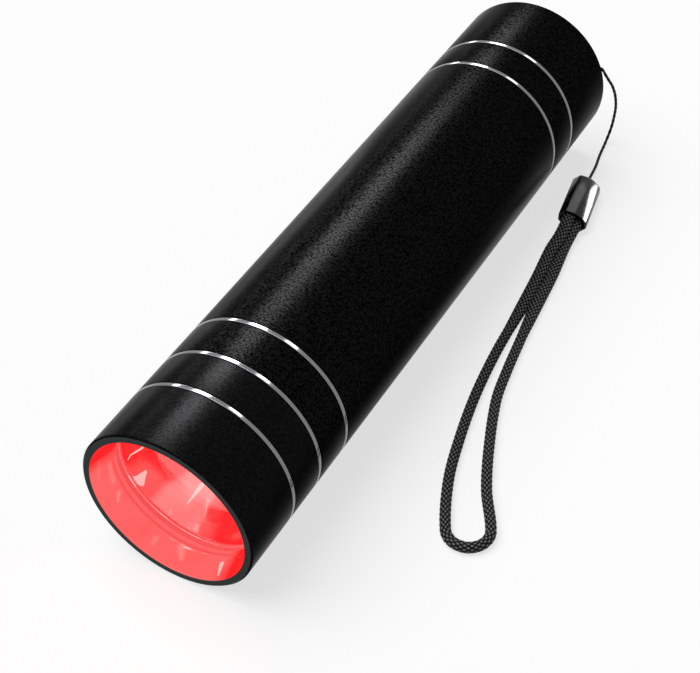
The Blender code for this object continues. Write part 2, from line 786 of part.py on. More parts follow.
def make_head(axis):
    """Head between two bright rings: a neck for the bezel, a cavity for the boards, a neck for the tube,
    and the socket's window with its shallow pocket in the hidden side."""
    shoulder = RING_3 + HALF_GROOVE - GAP
    groove_front = shoulder + SEAL_OFFSET
    head = turned(
        "head_shell",
        [
            (POCKET_FIT, NECK_FRONT),
            (POCKET_FIT, BEZEL_BACK + GAP),
            (TRIM_SEAT, BEZEL_BACK + GAP),
            (TRIM_SEAT, RING_2 + HALF_GROOVE),
            (BARREL_RADIUS, RING_2 + HALF_GROOVE),
            (BARREL_RADIUS, RING_3 - HALF_GROOVE),
            (TRIM_SEAT, RING_3 - HALF_GROOVE),
            (TRIM_SEAT, shoulder),
            (NECK_RADIUS, shoulder),
            *seal_groove(groove_front),
            (NECK_RADIUS, HEAD_NECK_BACK - THREAD_EDGE),
            (NECK_RADIUS - THREAD_EDGE, HEAD_NECK_BACK),
            (CAVITY_RADIUS, HEAD_NECK_BACK),
            (CAVITY_RADIUS, LEDGE_BACK),
            (CAVITY_RADIUS - LEDGE_WIDTH, LEDGE_BACK),
            (CAVITY_RADIUS - LEDGE_WIDTH, LEDGE_FRONT),
            (NECK_BORE, LEDGE_FRONT),
            (NECK_BORE, NECK_FRONT),
        ],
        "black_anodised",
        axis,
    )
    make_seal("head_o_ring", groove_front, axis)

    window_length = SOCKET_LENGTH + SOCKET_INSET + OVERRUN
    window = stadium_mesh(
        "socket_window", SOCKET_WIDTH + 2 * GAP, SOCKET_HEIGHT + 2 * GAP, window_length
    )
    cut(head, operand("socket_window", window, (-BARREL_RADIUS - OVERRUN, PORT_STATION, 0), axis))
    pocket_half = COVER_WIDTH / 2 + GAP
    pocket_front = PORT_STATION - pocket_half
    pocket_back = PORT_STATION + pocket_half
    pocket = arc_mesh(
        "cover_pocket",
        band(cover_floor(), BARREL_RADIUS + OVERRUN, pocket_front, pocket_back),
        skin_angle(-COVER_HINGE_REACH - ANCHOR_LENGTH - GAP),
        skin_angle(COVER_FREE_REACH + GAP),
        COVER_ARC_STEPS,
    )
    cut(head, operand("cover_pocket", pocket, (0, 0, 0), axis))
    hole_top = cover_floor() + OVERRUN
    hole_bottom = cover_floor() - PEG_LENGTH - GAP
    hole = rod_mesh("peg_hole", PEG_RADIUS + GAP, hole_top - hole_bottom, direction=peg_direction())
    cut(head, operand("peg_hole", hole, peg_place((hole_top + hole_bottom) / 2), axis))


def cover_floor():
    """Radius of the pocket's floor under the flap."""
    return BARREL_RADIUS - COVER_THICKNESS - GAP


def skin_angle(reach):
    """Angle of a point on the barrel's skin, a distance below the socket's centre."""
    return PORT_SIDE + reach / BARREL_RADIUS


def peg_angle():
    """Angle of the peg, in the middle of the flap's anchor."""
    return skin_angle(-COVER_HINGE_REACH - ANCHOR_LENGTH / 2)


def peg_direction():
    """The way the peg points, out of the barrel."""
    return polar(1, peg_angle(), 0)


def peg_place(radius):
    """A point on the peg's middle line."""
    return polar(radius, peg_angle(), PORT_STATION)


def make_port_cover(axis):
    """Rubber flap that swings about its upper end, with the plug that enters the socket's window,
    and the anchor beyond the living hinge, pegged into the head."""
    hinge_spot = polar(BARREL_RADIUS, skin_angle(-COVER_HINGE_REACH), PORT_STATION)
    hinge = empty("port_cover_hinge", hinge_spot, axis)
    inner = BARREL_RADIUS - COVER_THICKNESS
    front = PORT_STATION - COVER_WIDTH / 2
    outline = band(inner, BARREL_RADIUS, front, front + COVER_WIDTH)
    flap_start = skin_angle(-COVER_HINGE_REACH + COVER_PARTING)
    mesh = arc_mesh("port_cover", outline, flap_start, skin_angle(COVER_FREE_REACH), COVER_ARC_STEPS)
    mesh.transform(Matrix.Translation(-hinge_spot))
    cover = placed("port_cover", mesh, parent=hinge, material="black_rubber")
    plug_width = SOCKET_WIDTH - 2 * COVER_PLUG_CLEARANCE
    plug_height = SOCKET_HEIGHT - 2 * COVER_PLUG_CLEARANCE
    plug_end = BARREL_RADIUS - COVER_THICKNESS - COVER_PLUG_DEPTH
    plug_start = plug_end + COVER_PLUG_DEPTH + COVER_THICKNESS / 2
    plug = stadium_mesh("port_plug", plug_width, plug_height, plug_start - plug_end)
    join(cover, operand("port_plug", plug, Vector((-plug_start, PORT_STATION, 0)) - hinge_spot, hinge))

    anchor_start = skin_angle(-COVER_HINGE_REACH - ANCHOR_LENGTH)
    anchor_end = skin_angle(-COVER_HINGE_REACH - COVER_PARTING)
    anchor_mesh = arc_mesh("port_cover_anchor", outline, anchor_start, anchor_end, ANCHOR_ARC_STEPS)
    anchor = placed("port_cover_anchor", anchor_mesh, parent=axis, material="black_rubber")
    peg_top = BARREL_RADIUS - COVER_THICKNESS / 2
    peg_bottom = cover_floor() - PEG_LENGTH
    peg = rod_mesh("anchor_peg", PEG_RADIUS, peg_top - peg_bottom, direction=peg_direction())
    join(anchor, operand("anchor_peg", peg, peg_place((peg_top + peg_bottom) / 2), axis))


def make_socket(axis):
    """Charging socket: a stadium shell, open towards the flap, with its tongue."""
    mouth = (-(BARREL_RADIUS - SOCKET_INSET), PORT_STATION, 0)
    shell = stadium_mesh("usb_c_socket", SOCKET_WIDTH, SOCKET_HEIGHT, SOCKET_LENGTH)
    socket = placed("usb_c_socket", shell, mouth, axis, "nickel_steel")
    inside_length = SOCKET_LENGTH - SOCKET_BACK + OVERRUN
    inside = stadium_mesh(
        "socket_inside", SOCKET_WIDTH - 2 * SOCKET_WALL, SOCKET_HEIGHT - 2 * SOCKET_WALL, inside_length
    )
    cut(socket, operand("socket_inside", inside, (mouth[0] - OVERRUN, mouth[1], mouth[2]), axis))
    tongue_length = SOCKET_LENGTH - TONGUE_INSET - SOCKET_BACK / 2
    tongue = block_mesh("socket_tongue", (tongue_length, TONGUE_THICKNESS, TONGUE_WIDTH))
    tongue_middle = (mouth[0] + TONGUE_INSET + tongue_length / 2, mouth[1], mouth[2])
    join(socket, operand("socket_tongue", tongue, tongue_middle, axis))


def make_board(name, radius, front, material, chips, axis):
    """A round board with its chips on the front, each a (x, z, width, depth, height) in board shares."""
    board = turned(name, band(0, radius, front, front + BOARD_THICKNESS), material, axis, INNER_SIDES)
    for number, shares in enumerate(chips, 1):
        x, z, width, depth, height = (share * radius for share in shares)
        label = f"{name}_chip_{number}"
        chip = block_mesh(label, (width, height + CHIP_SINK, depth))
        join(board, operand(label, chip, (x, front - (height - CHIP_SINK) / 2, z), axis))
    return board


def key_slots(piece, label, outer, inner, back, axis):
    """Two slots across a threaded ring's rear face, for the key that turns it."""
    for side, sign in (("right", 1), ("left", -1)):
        size = (outer - inner + 2 * OVERRUN, 2 * KEY_SLOT_DEPTH, KEY_SLOT_WIDTH)
        name = f"{label}_slot_{side}"
        cut(piece, operand(name, block_mesh(name, size), (sign * (outer + inner) / 2, back, 0), axis))


def make_electronics(axis):
    """Charge board, spacer, driver board, the threaded ring behind them and the front contact spring."""
    make_board("charge_board", BOARD_RADIUS, CHARGE_BOARD_FRONT, "board_green", CHARGE_CHIP_SHARES, axis)
    turned(
        "board_spacer",
        band(
            BOARD_RADIUS - SPACER_WALL,
            BOARD_RADIUS,
            CHARGE_BOARD_BACK + GAP,
            CHARGE_BOARD_BACK + GAP + SPACER_LENGTH,
        ),
        "white_plastic",
        axis,
        INNER_SIDES,
    )
    make_board("driver_board", BOARD_RADIUS, DRIVER_BOARD_FRONT, "board_green", DRIVER_CHIP_SHARES, axis)
    ring_front = DRIVER_BOARD_BACK + GAP
    ring_back = ring_front + DRIVER_RING_THICKNESS
    ring_inner = BOARD_RADIUS - DRIVER_RING_WALL
    profile = band(ring_inner, BOARD_RADIUS, ring_front, ring_back)
    ring = turned("driver_retaining_ring", profile, "brass", axis, INNER_SIDES)
    key_slots(ring, "driver_ring", BOARD_RADIUS, ring_inner, ring_back, axis)
    make_spring(
        "front_contact_spring",
        FRONT_SPRING_START,
        FRONT_SPRING_START + FRONT_SPRING_LENGTH,
        FRONT_SPRING_WIDE,
        FRONT_SPRING_NARROW,
        FRONT_SPRING_WIRE,
        FRONT_SPRING_TURNS,
        axis,
    )


def make_spring(name, front, back, front_radius, back_radius, wire, turns, axis):
    """A tapered spring of round wire between two stations, and the least gap between its curls."""
    count = turns * POINTS_PER_CURL
    low = front + wire / 2
    high = back - wire / 2
    points = []
    for i in range(count + 1):
        share = i / count
        radius = front_radius + (back_radius - front_radius) * share - wire / 2
        points.append(polar(radius, TURN * turns * share, low + (high - low) * share))
    least = min(
        (a - b).length
        for i, a in enumerate(points)
        for b in points[i + POINTS_PER_CURL // 2 :]
    )
    print(f"{name}: least gap between curls {least - wire:.5f} m")
    tube(name, points, wire / 2, "spring_steel", axis, resolution=1)


def make_tube(axis):
    """Long barrel with the battery's bore, a bore for the head's neck and a neck for the tail cap."""
    shoulder = RING_4 + HALF_GROOVE - GAP
    groove_front = shoulder + SEAL_OFFSET
    turned(
        "body_tube",
        [
            (BARREL_RADIUS, RING_3 + HALF_GROOVE),
            (BARREL_RADIUS, RING_4 - HALF_GROOVE),
            (TRIM_SEAT, RING_4 - HALF_GROOVE),
            (TRIM_SEAT, shoulder),
            (NECK_RADIUS, shoulder),
            *seal_groove(groove_front),
            (NECK_RADIUS, TUBE_NECK_BACK - THREAD_EDGE),
            (NECK_RADIUS - THREAD_EDGE, TUBE_NECK_BACK),
            (BATTERY_BORE, TUBE_NECK_BACK),
            (BATTERY_BORE, HEAD_NECK_BACK + GAP),
            (SHELL_BORE, HEAD_NECK_BACK + GAP),
            (SHELL_BORE, RING_3 + HALF_GROOVE),
        ],
        "black_anodised",
        axis,
    )
    make_seal("tail_o_ring", groove_front, axis)


def make_battery(axis):
    """Round cell: the can, its shrunk wrap, the insulating washer and the plus cap."""
    turned(
        "battery_cell",
        [
            (0, CAN_FRONT),
            (CAN_RADIUS - CAN_EDGE, CAN_FRONT),
            (CAN_RADIUS, CAN_FRONT + CAN_EDGE),
            (CAN_RADIUS, CAN_BACK - CAN_EDGE),
            (CAN_RADIUS - CAN_EDGE, CAN_BACK),
            (0, CAN_BACK),
        ],
        "cell_can",
        axis,
        INNER_SIDES,
    )
    inner = BATTERY_RADIUS - WRAP_THICKNESS
    lip = BATTERY_RADIUS - WRAP_LIP
    front = CAN_FRONT - GAP
    turned(
        "battery_wrap",
        [
            (lip, front - WRAP_THICKNESS),
            (BATTERY_RADIUS, front - WRAP_THICKNESS),
            (BATTERY_RADIUS, BATTERY_BACK),
            (lip, BATTERY_BACK),
            (lip, BATTERY_BACK - WRAP_THICKNESS),
            (inner, BATTERY_BACK - WRAP_THICKNESS),
            (inner, front),
            (lip, front),
        ],
        "cell_wrap",
        axis,
        INNER_SIDES,
    )
    turned(
        "battery_insulator",
        band(INSULATOR_INNER, lip - GAP, front - INSULATOR_THICKNESS, front),
        "white_plastic",
        axis,
        INNER_SIDES,
    )
    turned(
        "battery_positive_cap",
        [
            (0, BATTERY_FRONT),
            (CAP_RADIUS - CAP_EDGE, BATTERY_FRONT),
            (CAP_RADIUS, BATTERY_FRONT + CAP_EDGE),
            (CAP_RADIUS, BATTERY_FRONT + CAP_HEIGHT),
            (0, BATTERY_FRONT + CAP_HEIGHT),
        ],
        "nickel_steel",
        axis,
        SMALL_SIDES,
    )


def make_tail_cap(axis):
    """Rear sleeve with a shallow recess round the button, the switch's cavity and the cord's tunnel."""
    cap = turned(
        "tail_cap",
        [
            (BARREL_RADIUS, RING_4 + HALF_GROOVE),
            (BARREL_RADIUS, RING_5 - HALF_GROOVE),
            (TRIM_SEAT, RING_5 - HALF_GROOVE),
            (TRIM_SEAT, RING_5 + HALF_GROOVE),
            (BARREL_RADIUS, RING_5 + HALF_GROOVE),
            (BARREL_RADIUS, WAND_LENGTH - TAIL_EDGE),
            (BARREL_RADIUS - TAIL_EDGE, WAND_LENGTH),
            (RECESS_RADIUS + RECESS_TAPER, WAND_LENGTH),
            (RECESS_RADIUS, RECESS_FLOOR),
            (BUTTON_HOLE, RECESS_FLOOR),
            (BUTTON_HOLE, END_WALL_FRONT),
            (SWITCH_CAVITY, END_WALL_FRONT),
            (SWITCH_CAVITY, SWITCH_FRONT),
            (SWITCH_THREAD, SWITCH_FRONT),
            (SWITCH_THREAD, RETAINER_FRONT),
            (SHELL_BORE, RETAINER_FRONT),
            (SHELL_BORE, RING_4 + HALF_GROOVE),
        ],
        "black_anodised",
        axis,
    )
    bm = bmesh.new()
    section = [
        bm.verts.new((TUNNEL_BEND + TUNNEL_RADIUS * math.cos(a), 0, TUNNEL_RADIUS * math.sin(a)))
        for a in (TURN * i / TUNNEL_SIDES for i in range(TUNNEL_SIDES))
    ]
    edges = [bm.edges.new((a, b)) for a, b in zip(section, section[1:] + section[:1])]
    bmesh.ops.spin(
        bm,
        geom=section + edges,
        cent=(0, 0, 0),
        axis=(0, 0, 1),
        angle=TURN,
        steps=TUNNEL_STEPS,
        use_merge=True,
    )
    outward = polar(1, TUNNEL_ANGLE, 0)
    tunnel = mesh_of("cord_tunnel", bm)
    tunnel.transform(outward.to_track_quat("Z", "Y").to_matrix().to_4x4())
    place = polar(BARREL_RADIUS - TUNNEL_INSET, TUNNEL_ANGLE, WAND_LENGTH)
    cut(cap, operand("cord_tunnel", tunnel, place, axis))


def make_switch(axis):
    """Tail spring, threaded ring, switch board and push switch, in the order they come out."""
    make_spring(
        "tail_spring",
        CAN_BACK + GAP,
        SWITCH_BOARD_FRONT - GAP,
        TAIL_SPRING_FRONT,
        TAIL_SPRING_REAR,
        TAIL_SPRING_WIRE,
        TAIL_SPRING_TURNS,
        axis,
    )
    outer = SWITCH_THREAD - GAP
    inner = outer - RETAINER_WALL
    profile = band(inner, outer, RETAINER_FRONT, RETAINER_BACK)
    retainer = turned("switch_retaining_ring", profile, "brass", axis, INNER_SIDES)
    key_slots(retainer, "retainer", outer, inner, RETAINER_FRONT, axis)
    profile = band(0, outer, SWITCH_BOARD_FRONT, SWITCH_BOARD_BACK)
    turned("switch_board", profile, "board_green", axis, INNER_SIDES)
    size = (SWITCH_SIDE, SWITCH_HEIGHT, SWITCH_SIDE)
    middle = (0, (SWITCH_FRONT + SWITCH_BACK) / 2, 0)
    body = placed("tail_switch", block_mesh("tail_switch", size), middle, axis, "black_plastic")
    bevel = body.modifiers.new("edges", "BEVEL")
    bevel.width = SWITCH_EDGE
    bevel.segments = 1
    hole = rod_mesh("plunger_hole", PLUNGER_RADIUS + PLUNGER_CLEARANCE, 2 * SWITCH_PIN_DEPTH)
    cut(body, operand("plunger_hole", hole, (0, SWITCH_BACK, 0), axis))


def make_button(axis):
    """Button with its retaining flange and seal groove, the seal, and the switch's moving pin.
    They hang on one empty, whose Y axis is the way the button travels."""
    slide = empty("button_slide", (0, FLANGE_BACK, 0), axis)
    top = WAND_LENGTH - BUTTON_DROP - FLANGE_BACK
    rim = top - BUTTON_CROWN
    seat = (RECESS_FLOOR + END_WALL_FRONT) / 2 - FLANGE_BACK + BUTTON_GROOVE_WIDTH / 2
    floor = BUTTON_RADIUS - BUTTON_GROOVE_DEPTH
    turned(
        "tail_button",
        [
            (0, -BUTTON_FLANGE_THICKNESS),
            (BUTTON_FLANGE, -BUTTON_FLANGE_THICKNESS),
            (BUTTON_FLANGE, 0),
            (BUTTON_RADIUS, 0),
            (BUTTON_RADIUS, seat - BUTTON_GROOVE_WIDTH / 2),
            (floor, seat - BUTTON_GROOVE_WIDTH / 2),
            (floor, seat + BUTTON_GROOVE_WIDTH / 2),
            (BUTTON_RADIUS, seat + BUTTON_GROOVE_WIDTH / 2),
            (BUTTON_RADIUS, rim),
            (BUTTON_RADIUS - BUTTON_CROWN / 2, rim + BUTTON_CROWN / 2),
            (BUTTON_RADIUS / 2, top - BUTTON_CROWN / 8),
            (0, top),
        ],
        "black_rubber",
        slide,
        INNER_SIDES,
    )
    section = ring_section((floor + BUTTON_HOLE) / 2, seat, BUTTON_SEAL_RADIUS)
    turned("button_o_ring", section, "black_rubber", slide, SMALL_SIDES)
    pin_back = -BUTTON_FLANGE_THICKNESS - GAP
    pin_front = SWITCH_BACK - SWITCH_PIN_DEPTH + BUTTON_TRAVEL + GAP - FLANGE_BACK
    profile = band(0, PLUNGER_RADIUS, pin_front, pin_back)
    turned("switch_plunger", profile, "white_plastic", slide, SMALL_SIDES)


def ferrule_outline(width, height, chamfer):
    """The clip's eight-sided section, as (across, up) points about its middle."""
    half_width = width / 2
    half_height = height / 2
    corner = []
    for across, up in ((1, 1), (-1, 1), (-1, -1), (1, -1)):
        side = (across * half_width, up * (half_height - chamfer))
        end = (across * (half_width - chamfer), up * half_height)
        corner += [side, end] if across * up > 0 else [end, side]
    return corner


def bridged(name, sections):
    """A solid through eight-sided sections, each a list of (across, up) points and its place along -Y."""
    bm = bmesh.new()
    rings = [[bm.verts.new((x, -along, z)) for x, z in outline] for outline, along in sections]
    for ring, following in zip(rings, rings[1:]):
        for i, corner in enumerate(ring):
            beside = (i + 1) % len(ring)
            bm.faces.new((corner, ring[beside], following[beside], following[i]))
    bm.faces.new(rings[0])
    bm.faces.new(rings[-1])
    return mesh_of(name, bm)


def make_ferrule():
    """Clip with a tapered nose for the thin cord and an open mouth for the two runs of the strap.
    It is rolled about its own length, so that it rests on the chamfer of one corner."""
    whole = ferrule_outline(FERRULE_WIDTH, FERRULE_HEIGHT, FERRULE_CHAMFER)
    nose = [(x * FERRULE_NOSE_SHARE, z * FERRULE_NOSE_SHARE) for x, z in whole]
    sections = [(nose, 0), (whole, FERRULE_NOSE_LENGTH), (whole, FERRULE_LENGTH)]
    corner_reach = (FERRULE_WIDTH + FERRULE_HEIGHT) / 2 - FERRULE_CHAMFER
    place = (*FERRULE_NOSE, corner_reach * math.cos(FERRULE_ROLL))
    ferrule = placed("strap_ferrule", bridged("strap_ferrule", sections), place, material="ferrule_gloss")
    ferrule.rotation_euler = (0, FERRULE_ROLL, FERRULE_HEADING)

    inner_width = FERRULE_WIDTH - 2 * FERRULE_WALL
    inner_height = FERRULE_HEIGHT - 2 * FERRULE_WALL
    inner = ferrule_outline(inner_width, inner_height, FERRULE_POCKET_CHAMFER)
    floor = FERRULE_LENGTH - FERRULE_POCKET_DEPTH
    pocket = bridged("ferrule_pocket", [(inner, floor), (inner, FERRULE_LENGTH + OVERRUN)])
    cut(ferrule, operand("ferrule_pocket", pocket, (0, 0, 0), ferrule))
    hole = rod_mesh("ferrule_hole", FERRULE_HOLE_RADIUS, 2 * FERRULE_HOLE_DEPTH)
    cut(ferrule, operand("ferrule_hole", hole, (0, 0, 0), ferrule))


def make_lanyard():
    """Thin cord with its stopper knot behind the tail's rim, the clip, and the strap's loop."""
    cord_points, cord_length = smooth_route(CORD_ROUTE, CORD_STEP)
    tube("lanyard_cord", cord_points, CORD_DIAMETER / 2, "thin_cord")
    bm = bmesh.new()
    bmesh.ops.create_uvsphere(bm, u_segments=KNOT_SIDES, v_segments=KNOT_RINGS, radius=KNOT_RADIUS)
    start = Vector(CORD_ROUTE[0])
    centre = start + Vector((0, KNOT_RADIUS + GAP, 0))
    placed("lanyard_knot", mesh_of("lanyard_knot", bm), centre, material="thin_cord")
    make_ferrule()
    strap_points, strap_length = smooth_route(STRAP_ROUTE, STRAP_STEP)
    tube("wrist_strap", strap_points, STRAP_DIAMETER / 2, "strap_braid")
    print(f"thin cord {cord_length:.4f} m, strap {strap_length:.4f} m")


def build():
    """Builds the wand on an empty at the middle of its front face."""
    clear_scene()
    axis = empty("wand_axis", (0, -WAND_LENGTH / 2, BARREL_RADIUS))
    make_bezel(axis)
    make_lens(axis)
    make_reflector(axis)
    make_light_source(axis)
    make_head(axis)
    make_socket(axis)
    make_port_cover(axis)
    make_electronics(axis)
    make_tube(axis)
    make_battery(axis)
    make_tail_cap(axis)
    make_switch(axis)
    make_button(axis)
    make_bright_rings(axis)
    make_lanyard()


build()
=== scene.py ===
"""Looks of the red light therapy wand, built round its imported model.

The wand lies along Y with its mouth towards -Y. All lengths are in metres. A station is a distance
behind the front face, and an angle is measured round the wand's axis, from +X towards +Z.
"""

import logging
import math
from collections.abc import Callable, Sequence
from dataclasses import dataclass
from enum import Enum
from typing import ClassVar, NamedTuple

import bmesh
import bpy
from mathutils import Matrix, Vector


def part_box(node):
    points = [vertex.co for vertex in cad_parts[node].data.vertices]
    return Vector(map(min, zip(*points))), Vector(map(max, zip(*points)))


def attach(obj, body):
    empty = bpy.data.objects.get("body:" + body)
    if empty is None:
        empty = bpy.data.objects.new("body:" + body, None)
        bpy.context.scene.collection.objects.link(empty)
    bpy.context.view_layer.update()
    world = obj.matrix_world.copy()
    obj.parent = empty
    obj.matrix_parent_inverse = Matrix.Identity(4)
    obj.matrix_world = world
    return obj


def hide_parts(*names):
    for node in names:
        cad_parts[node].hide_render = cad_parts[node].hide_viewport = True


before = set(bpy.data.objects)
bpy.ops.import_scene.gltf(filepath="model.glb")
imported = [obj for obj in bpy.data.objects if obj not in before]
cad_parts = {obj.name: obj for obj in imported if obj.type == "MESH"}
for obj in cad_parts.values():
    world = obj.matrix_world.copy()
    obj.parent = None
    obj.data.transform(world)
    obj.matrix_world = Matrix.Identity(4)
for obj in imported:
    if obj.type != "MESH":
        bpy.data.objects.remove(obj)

LOG = logging.getLogger("wand")
MM = 0.001
TURN = 2 * math.pi
Colour = tuple[float, float, float]
Point = tuple[float, float, float]
Pair = tuple[float, float]
Outline = list[Pair]
Piece = bpy.types.Object
NO_LIGHT: Colour = (0.0, 0.0, 0.0)
SMOOTH_BELOW = 34.0
TUBE_SMOOTH_BELOW = 80.0
BEVEL_ABOVE = 40.0
MOST_OF_HALF_A_SIDE = 0.48
JOIN_WITHIN = 0.0005 * MM
ON_AXIS = 1e-9
ROUND_STEPS = 16
MIRRORED_RAYS = ("Is Glossy Ray", "Is Transmission Ray")
CHANNELS = 3


class Body(Enum):
    """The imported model's rigid bodies."""

    WAND = "wand"
    BUTTON = "button"
    FLAP = "flap"


class Lit(Enum):
    """What a lamp lights."""

    METAL = "the four black sleeves and the five bright rings"
    SKIN = "the four black sleeves"
    RINGS = "the five bright rings"
    CLIP = "the clip"


class Fineness(Enum):
    """Steps round a turned piece."""

    BARREL = 224
    INNER = 144
    SMALL = 64
    WIRE = 10


# ---- shader trees


class Socket:
    """An output of a node, on which sums and products add Math nodes."""

    def __init__(self, tree: "ShaderTree", output: bpy.types.NodeSocket) -> None:
        """Keeps the tree and the output."""
        self.tree = tree
        self.output = output

    def math(self, operation: str, *others: "Value", clamp: bool = False) -> "Socket":
        """Adds a Math node whose first input is this socket.

        Args:
            operation: the Math node's operation.
            others: its other inputs.
            clamp: whether the result is kept from 0 to 1.

        Returns:
            The node's result.
        """
        return self.tree.node("ShaderNodeMath", [self, *others], operation=operation, use_clamp=clamp)

    def __add__(self, other: "Value") -> "Socket":
        """Sum."""
        return self.math("ADD", other)

    __radd__ = __add__

    def __sub__(self, other: "Value") -> "Socket":
        """Difference."""
        return self.math("SUBTRACT", other)

    def __rsub__(self, other: float) -> "Socket":
        """Difference from a number."""
        return (self * -1.0) + other

    def __mul__(self, other: "Value") -> "Socket":
        """Product."""
        return self.math("MULTIPLY", other)

    __rmul__ = __mul__

    def __truediv__(self, other: "Value") -> "Socket":
        """Quotient."""
        return self.math("DIVIDE", other)

    def __pow__(self, other: "Value") -> "Socket":
        """Power."""
        return self.math("POWER", other)

    def above(self, edge: float, blur: float) -> "Socket":
        """1 where the value is above the edge, 0 below it, and blurred between."""
        return self.tree.node(
            "ShaderNodeMapRange",
            {"Value": self, "From Min": edge - blur, "From Max": edge + blur},
            interpolation_type="SMOOTHSTEP",
        )

    def below(self, edge: float, blur: float) -> "Socket":
        """1 where the value is below the edge, 0 above it, and blurred between."""
        return 1.0 - self.above(edge, blur)

    def near(self, middle: float, reach: float) -> "Socket":
        """1 at the middle, and fading to 0 at the reach on either side."""
        return (self - middle).math("ABSOLUTE").below(reach / 2, reach / 2)


Value = Socket | float | Colour


class ShaderTree:
    """A material with one Principled BSDF, and the calls that feed it."""

    def __init__(self, name: str) -> None:
        """Makes the material with its own Principled BSDF."""
        self.material = bpy.data.materials.new(name)
        self.material.use_nodes = True
        self.nodes = self.material.node_tree.nodes
        self.links = self.material.node_tree.links
        self.shader = self.nodes["Principled BSDF"]

    def node(
        self,
        kind: str,
        inputs: dict[str | int, Value] | Sequence[Value] = (),
        output: str | int = 0,
        **settings: object,
    ) -> Socket:
        """Adds any node.

        Args:
            kind: the node's type.
            inputs: values or links of its sockets, by name or place, or in their order.
            output: the output that is handed back.
            settings: the node's own settings, which are set first.

        Returns:
            The asked output.
        """
        made = self.nodes.new(kind)
        for setting, value in settings.items():
            setattr(made, setting, value)
        pairs = inputs.items() if isinstance(inputs, dict) else enumerate(inputs)
        for key, value in pairs:
            self.feed(made.inputs[key], value)
        return Socket(self, made.outputs[output])

    def feed(self, socket: bpy.types.NodeSocket, value: Value) -> None:
        """Links a socket to an input, or sets the input to a number or colour."""
        if isinstance(value, Socket):
            self.links.new(value.output, socket)
        elif isinstance(value, tuple) and len(value) == CHANNELS and socket.type == "RGBA":
            socket.default_value = (*value, 1.0)
        else:
            socket.default_value = value

    def set(self, **inputs: Value) -> None:
        """Sets or links the shader's inputs, with _ for a space in their names."""
        for name, value in inputs.items():
            self.feed(self.shader.inputs[name.replace("_", " ")], value)

    def place(self) -> Socket:
        """The point on the piece, in the wand's own frame at rest."""
        return self.node("ShaderNodeTexCoord", output="Object")

    def split(self, vector: Socket) -> tuple[Socket, Socket, Socket]:
        """The three parts of a vector."""
        first = self.node("ShaderNodeSeparateXYZ", [vector])
        x, y, z = (Socket(self, output) for output in first.output.node.outputs)
        return x, y, z

    def noise(self, grain: float, detail: float = 2.0, place: Socket | None = None) -> Socket:
        """Noise from 0 to 1.

        Args:
            grain: about how wide its specks are.
            detail: how many finer layers it has.
            place: where it is read; the wand's own frame by default.

        Returns:
            The noise.
        """
        where = place or self.place()
        return self.node("ShaderNodeTexNoise", {"Vector": where, "Scale": 1.0 / grain, "Detail": detail})

    def mix(self, mask: Value, low: Value, high: Value) -> Socket:
        """The low colour where the mask is 0 and the high one where it is 1."""
        return self.node(
            "ShaderNodeMix", {0: mask, 6: low, 7: high}, output=2, data_type="RGBA", clamp_factor=True
        )

    def brush(self, start: Vector, end: Vector, halves: Pair, blur: float) -> Socket:
        """A stroke between two points, 1 inside it and 0 outside.

        Args:
            start: its first end.
            end: its last end.
            halves: its half width at either end.
            blur: how wide its soft edge is.

        Returns:
            The stroke's mask.
        """
        along = end - start
        vector = "ShaderNodeVectorMath"
        ahead = tuple(along / along.length_squared)
        apart = self.node(vector, [self.place(), tuple(start)], operation="SUBTRACT")
        share = self.node(vector, [apart, ahead], output=1, operation="DOT_PRODUCT")
        share = share.math("ADD", 0.0, clamp=True)
        foot = self.node(vector, {0: tuple(along), "Scale": share}, operation="SCALE")
        rest = self.node(vector, [apart, foot], operation="SUBTRACT")
        away = self.node(vector, [rest], output=1, operation="LENGTH")
        half = share * (halves[1] - halves[0]) + halves[0]
        return (half - away).above(0.0, blur / 2)

    def bump(self, height: Socket, depth: float, strength: float = 1.0) -> None:
        """Roughens the shader's normal.

        Args:
            height: a height from 0 to 1.
            depth: how far apart 0 and 1 are.
            strength: the share of the effect.
        """
        made = self.node("ShaderNodeBump", {"Strength": strength, "Distance": depth, "Height": height})
        self.set(Normal=made)


# ---- the wand's frame and mesh tools


@dataclass(frozen=True)
class Wand:
    """The wand's own frame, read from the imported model."""

    radius: float
    front: float
    tail: float

    @classmethod
    def from_frame(cls) -> "Wand":
        """Reads the barrel's radius and its two ends."""
        low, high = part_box("bezel")
        return cls(radius=high.z / 2, front=low.y, tail=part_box("tail_cap")[1].y)

    @property
    def length(self) -> float:
        """Distance from the front face to the tail."""
        return self.tail - self.front

    def at(self, radius: float, angle: float, station: float) -> Vector:
        """The point at a radius, angle and station."""
        return Vector(
            (radius * math.cos(angle), self.front + station, self.radius + radius * math.sin(angle))
        )

    def stations(self, node: str) -> Pair:
        """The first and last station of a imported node."""
        low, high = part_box(node)
        return low.y - self.front, high.y - self.front

    def polar(self, tree: ShaderTree) -> tuple[Socket, Socket, Socket]:
        """Radius, angle and station of the point that is shaded."""
        x, y, z = tree.split(tree.place())
        up = z - self.radius
        radius = (x * x + up * up).math("SQRT")
        return radius, up.math("ARCTAN2", x), y - self.front


class Corner(NamedTuple):
    """A corner of a turned outline, and the radius that rounds it."""

    radius: float
    station: float
    fillet: float = 0.0


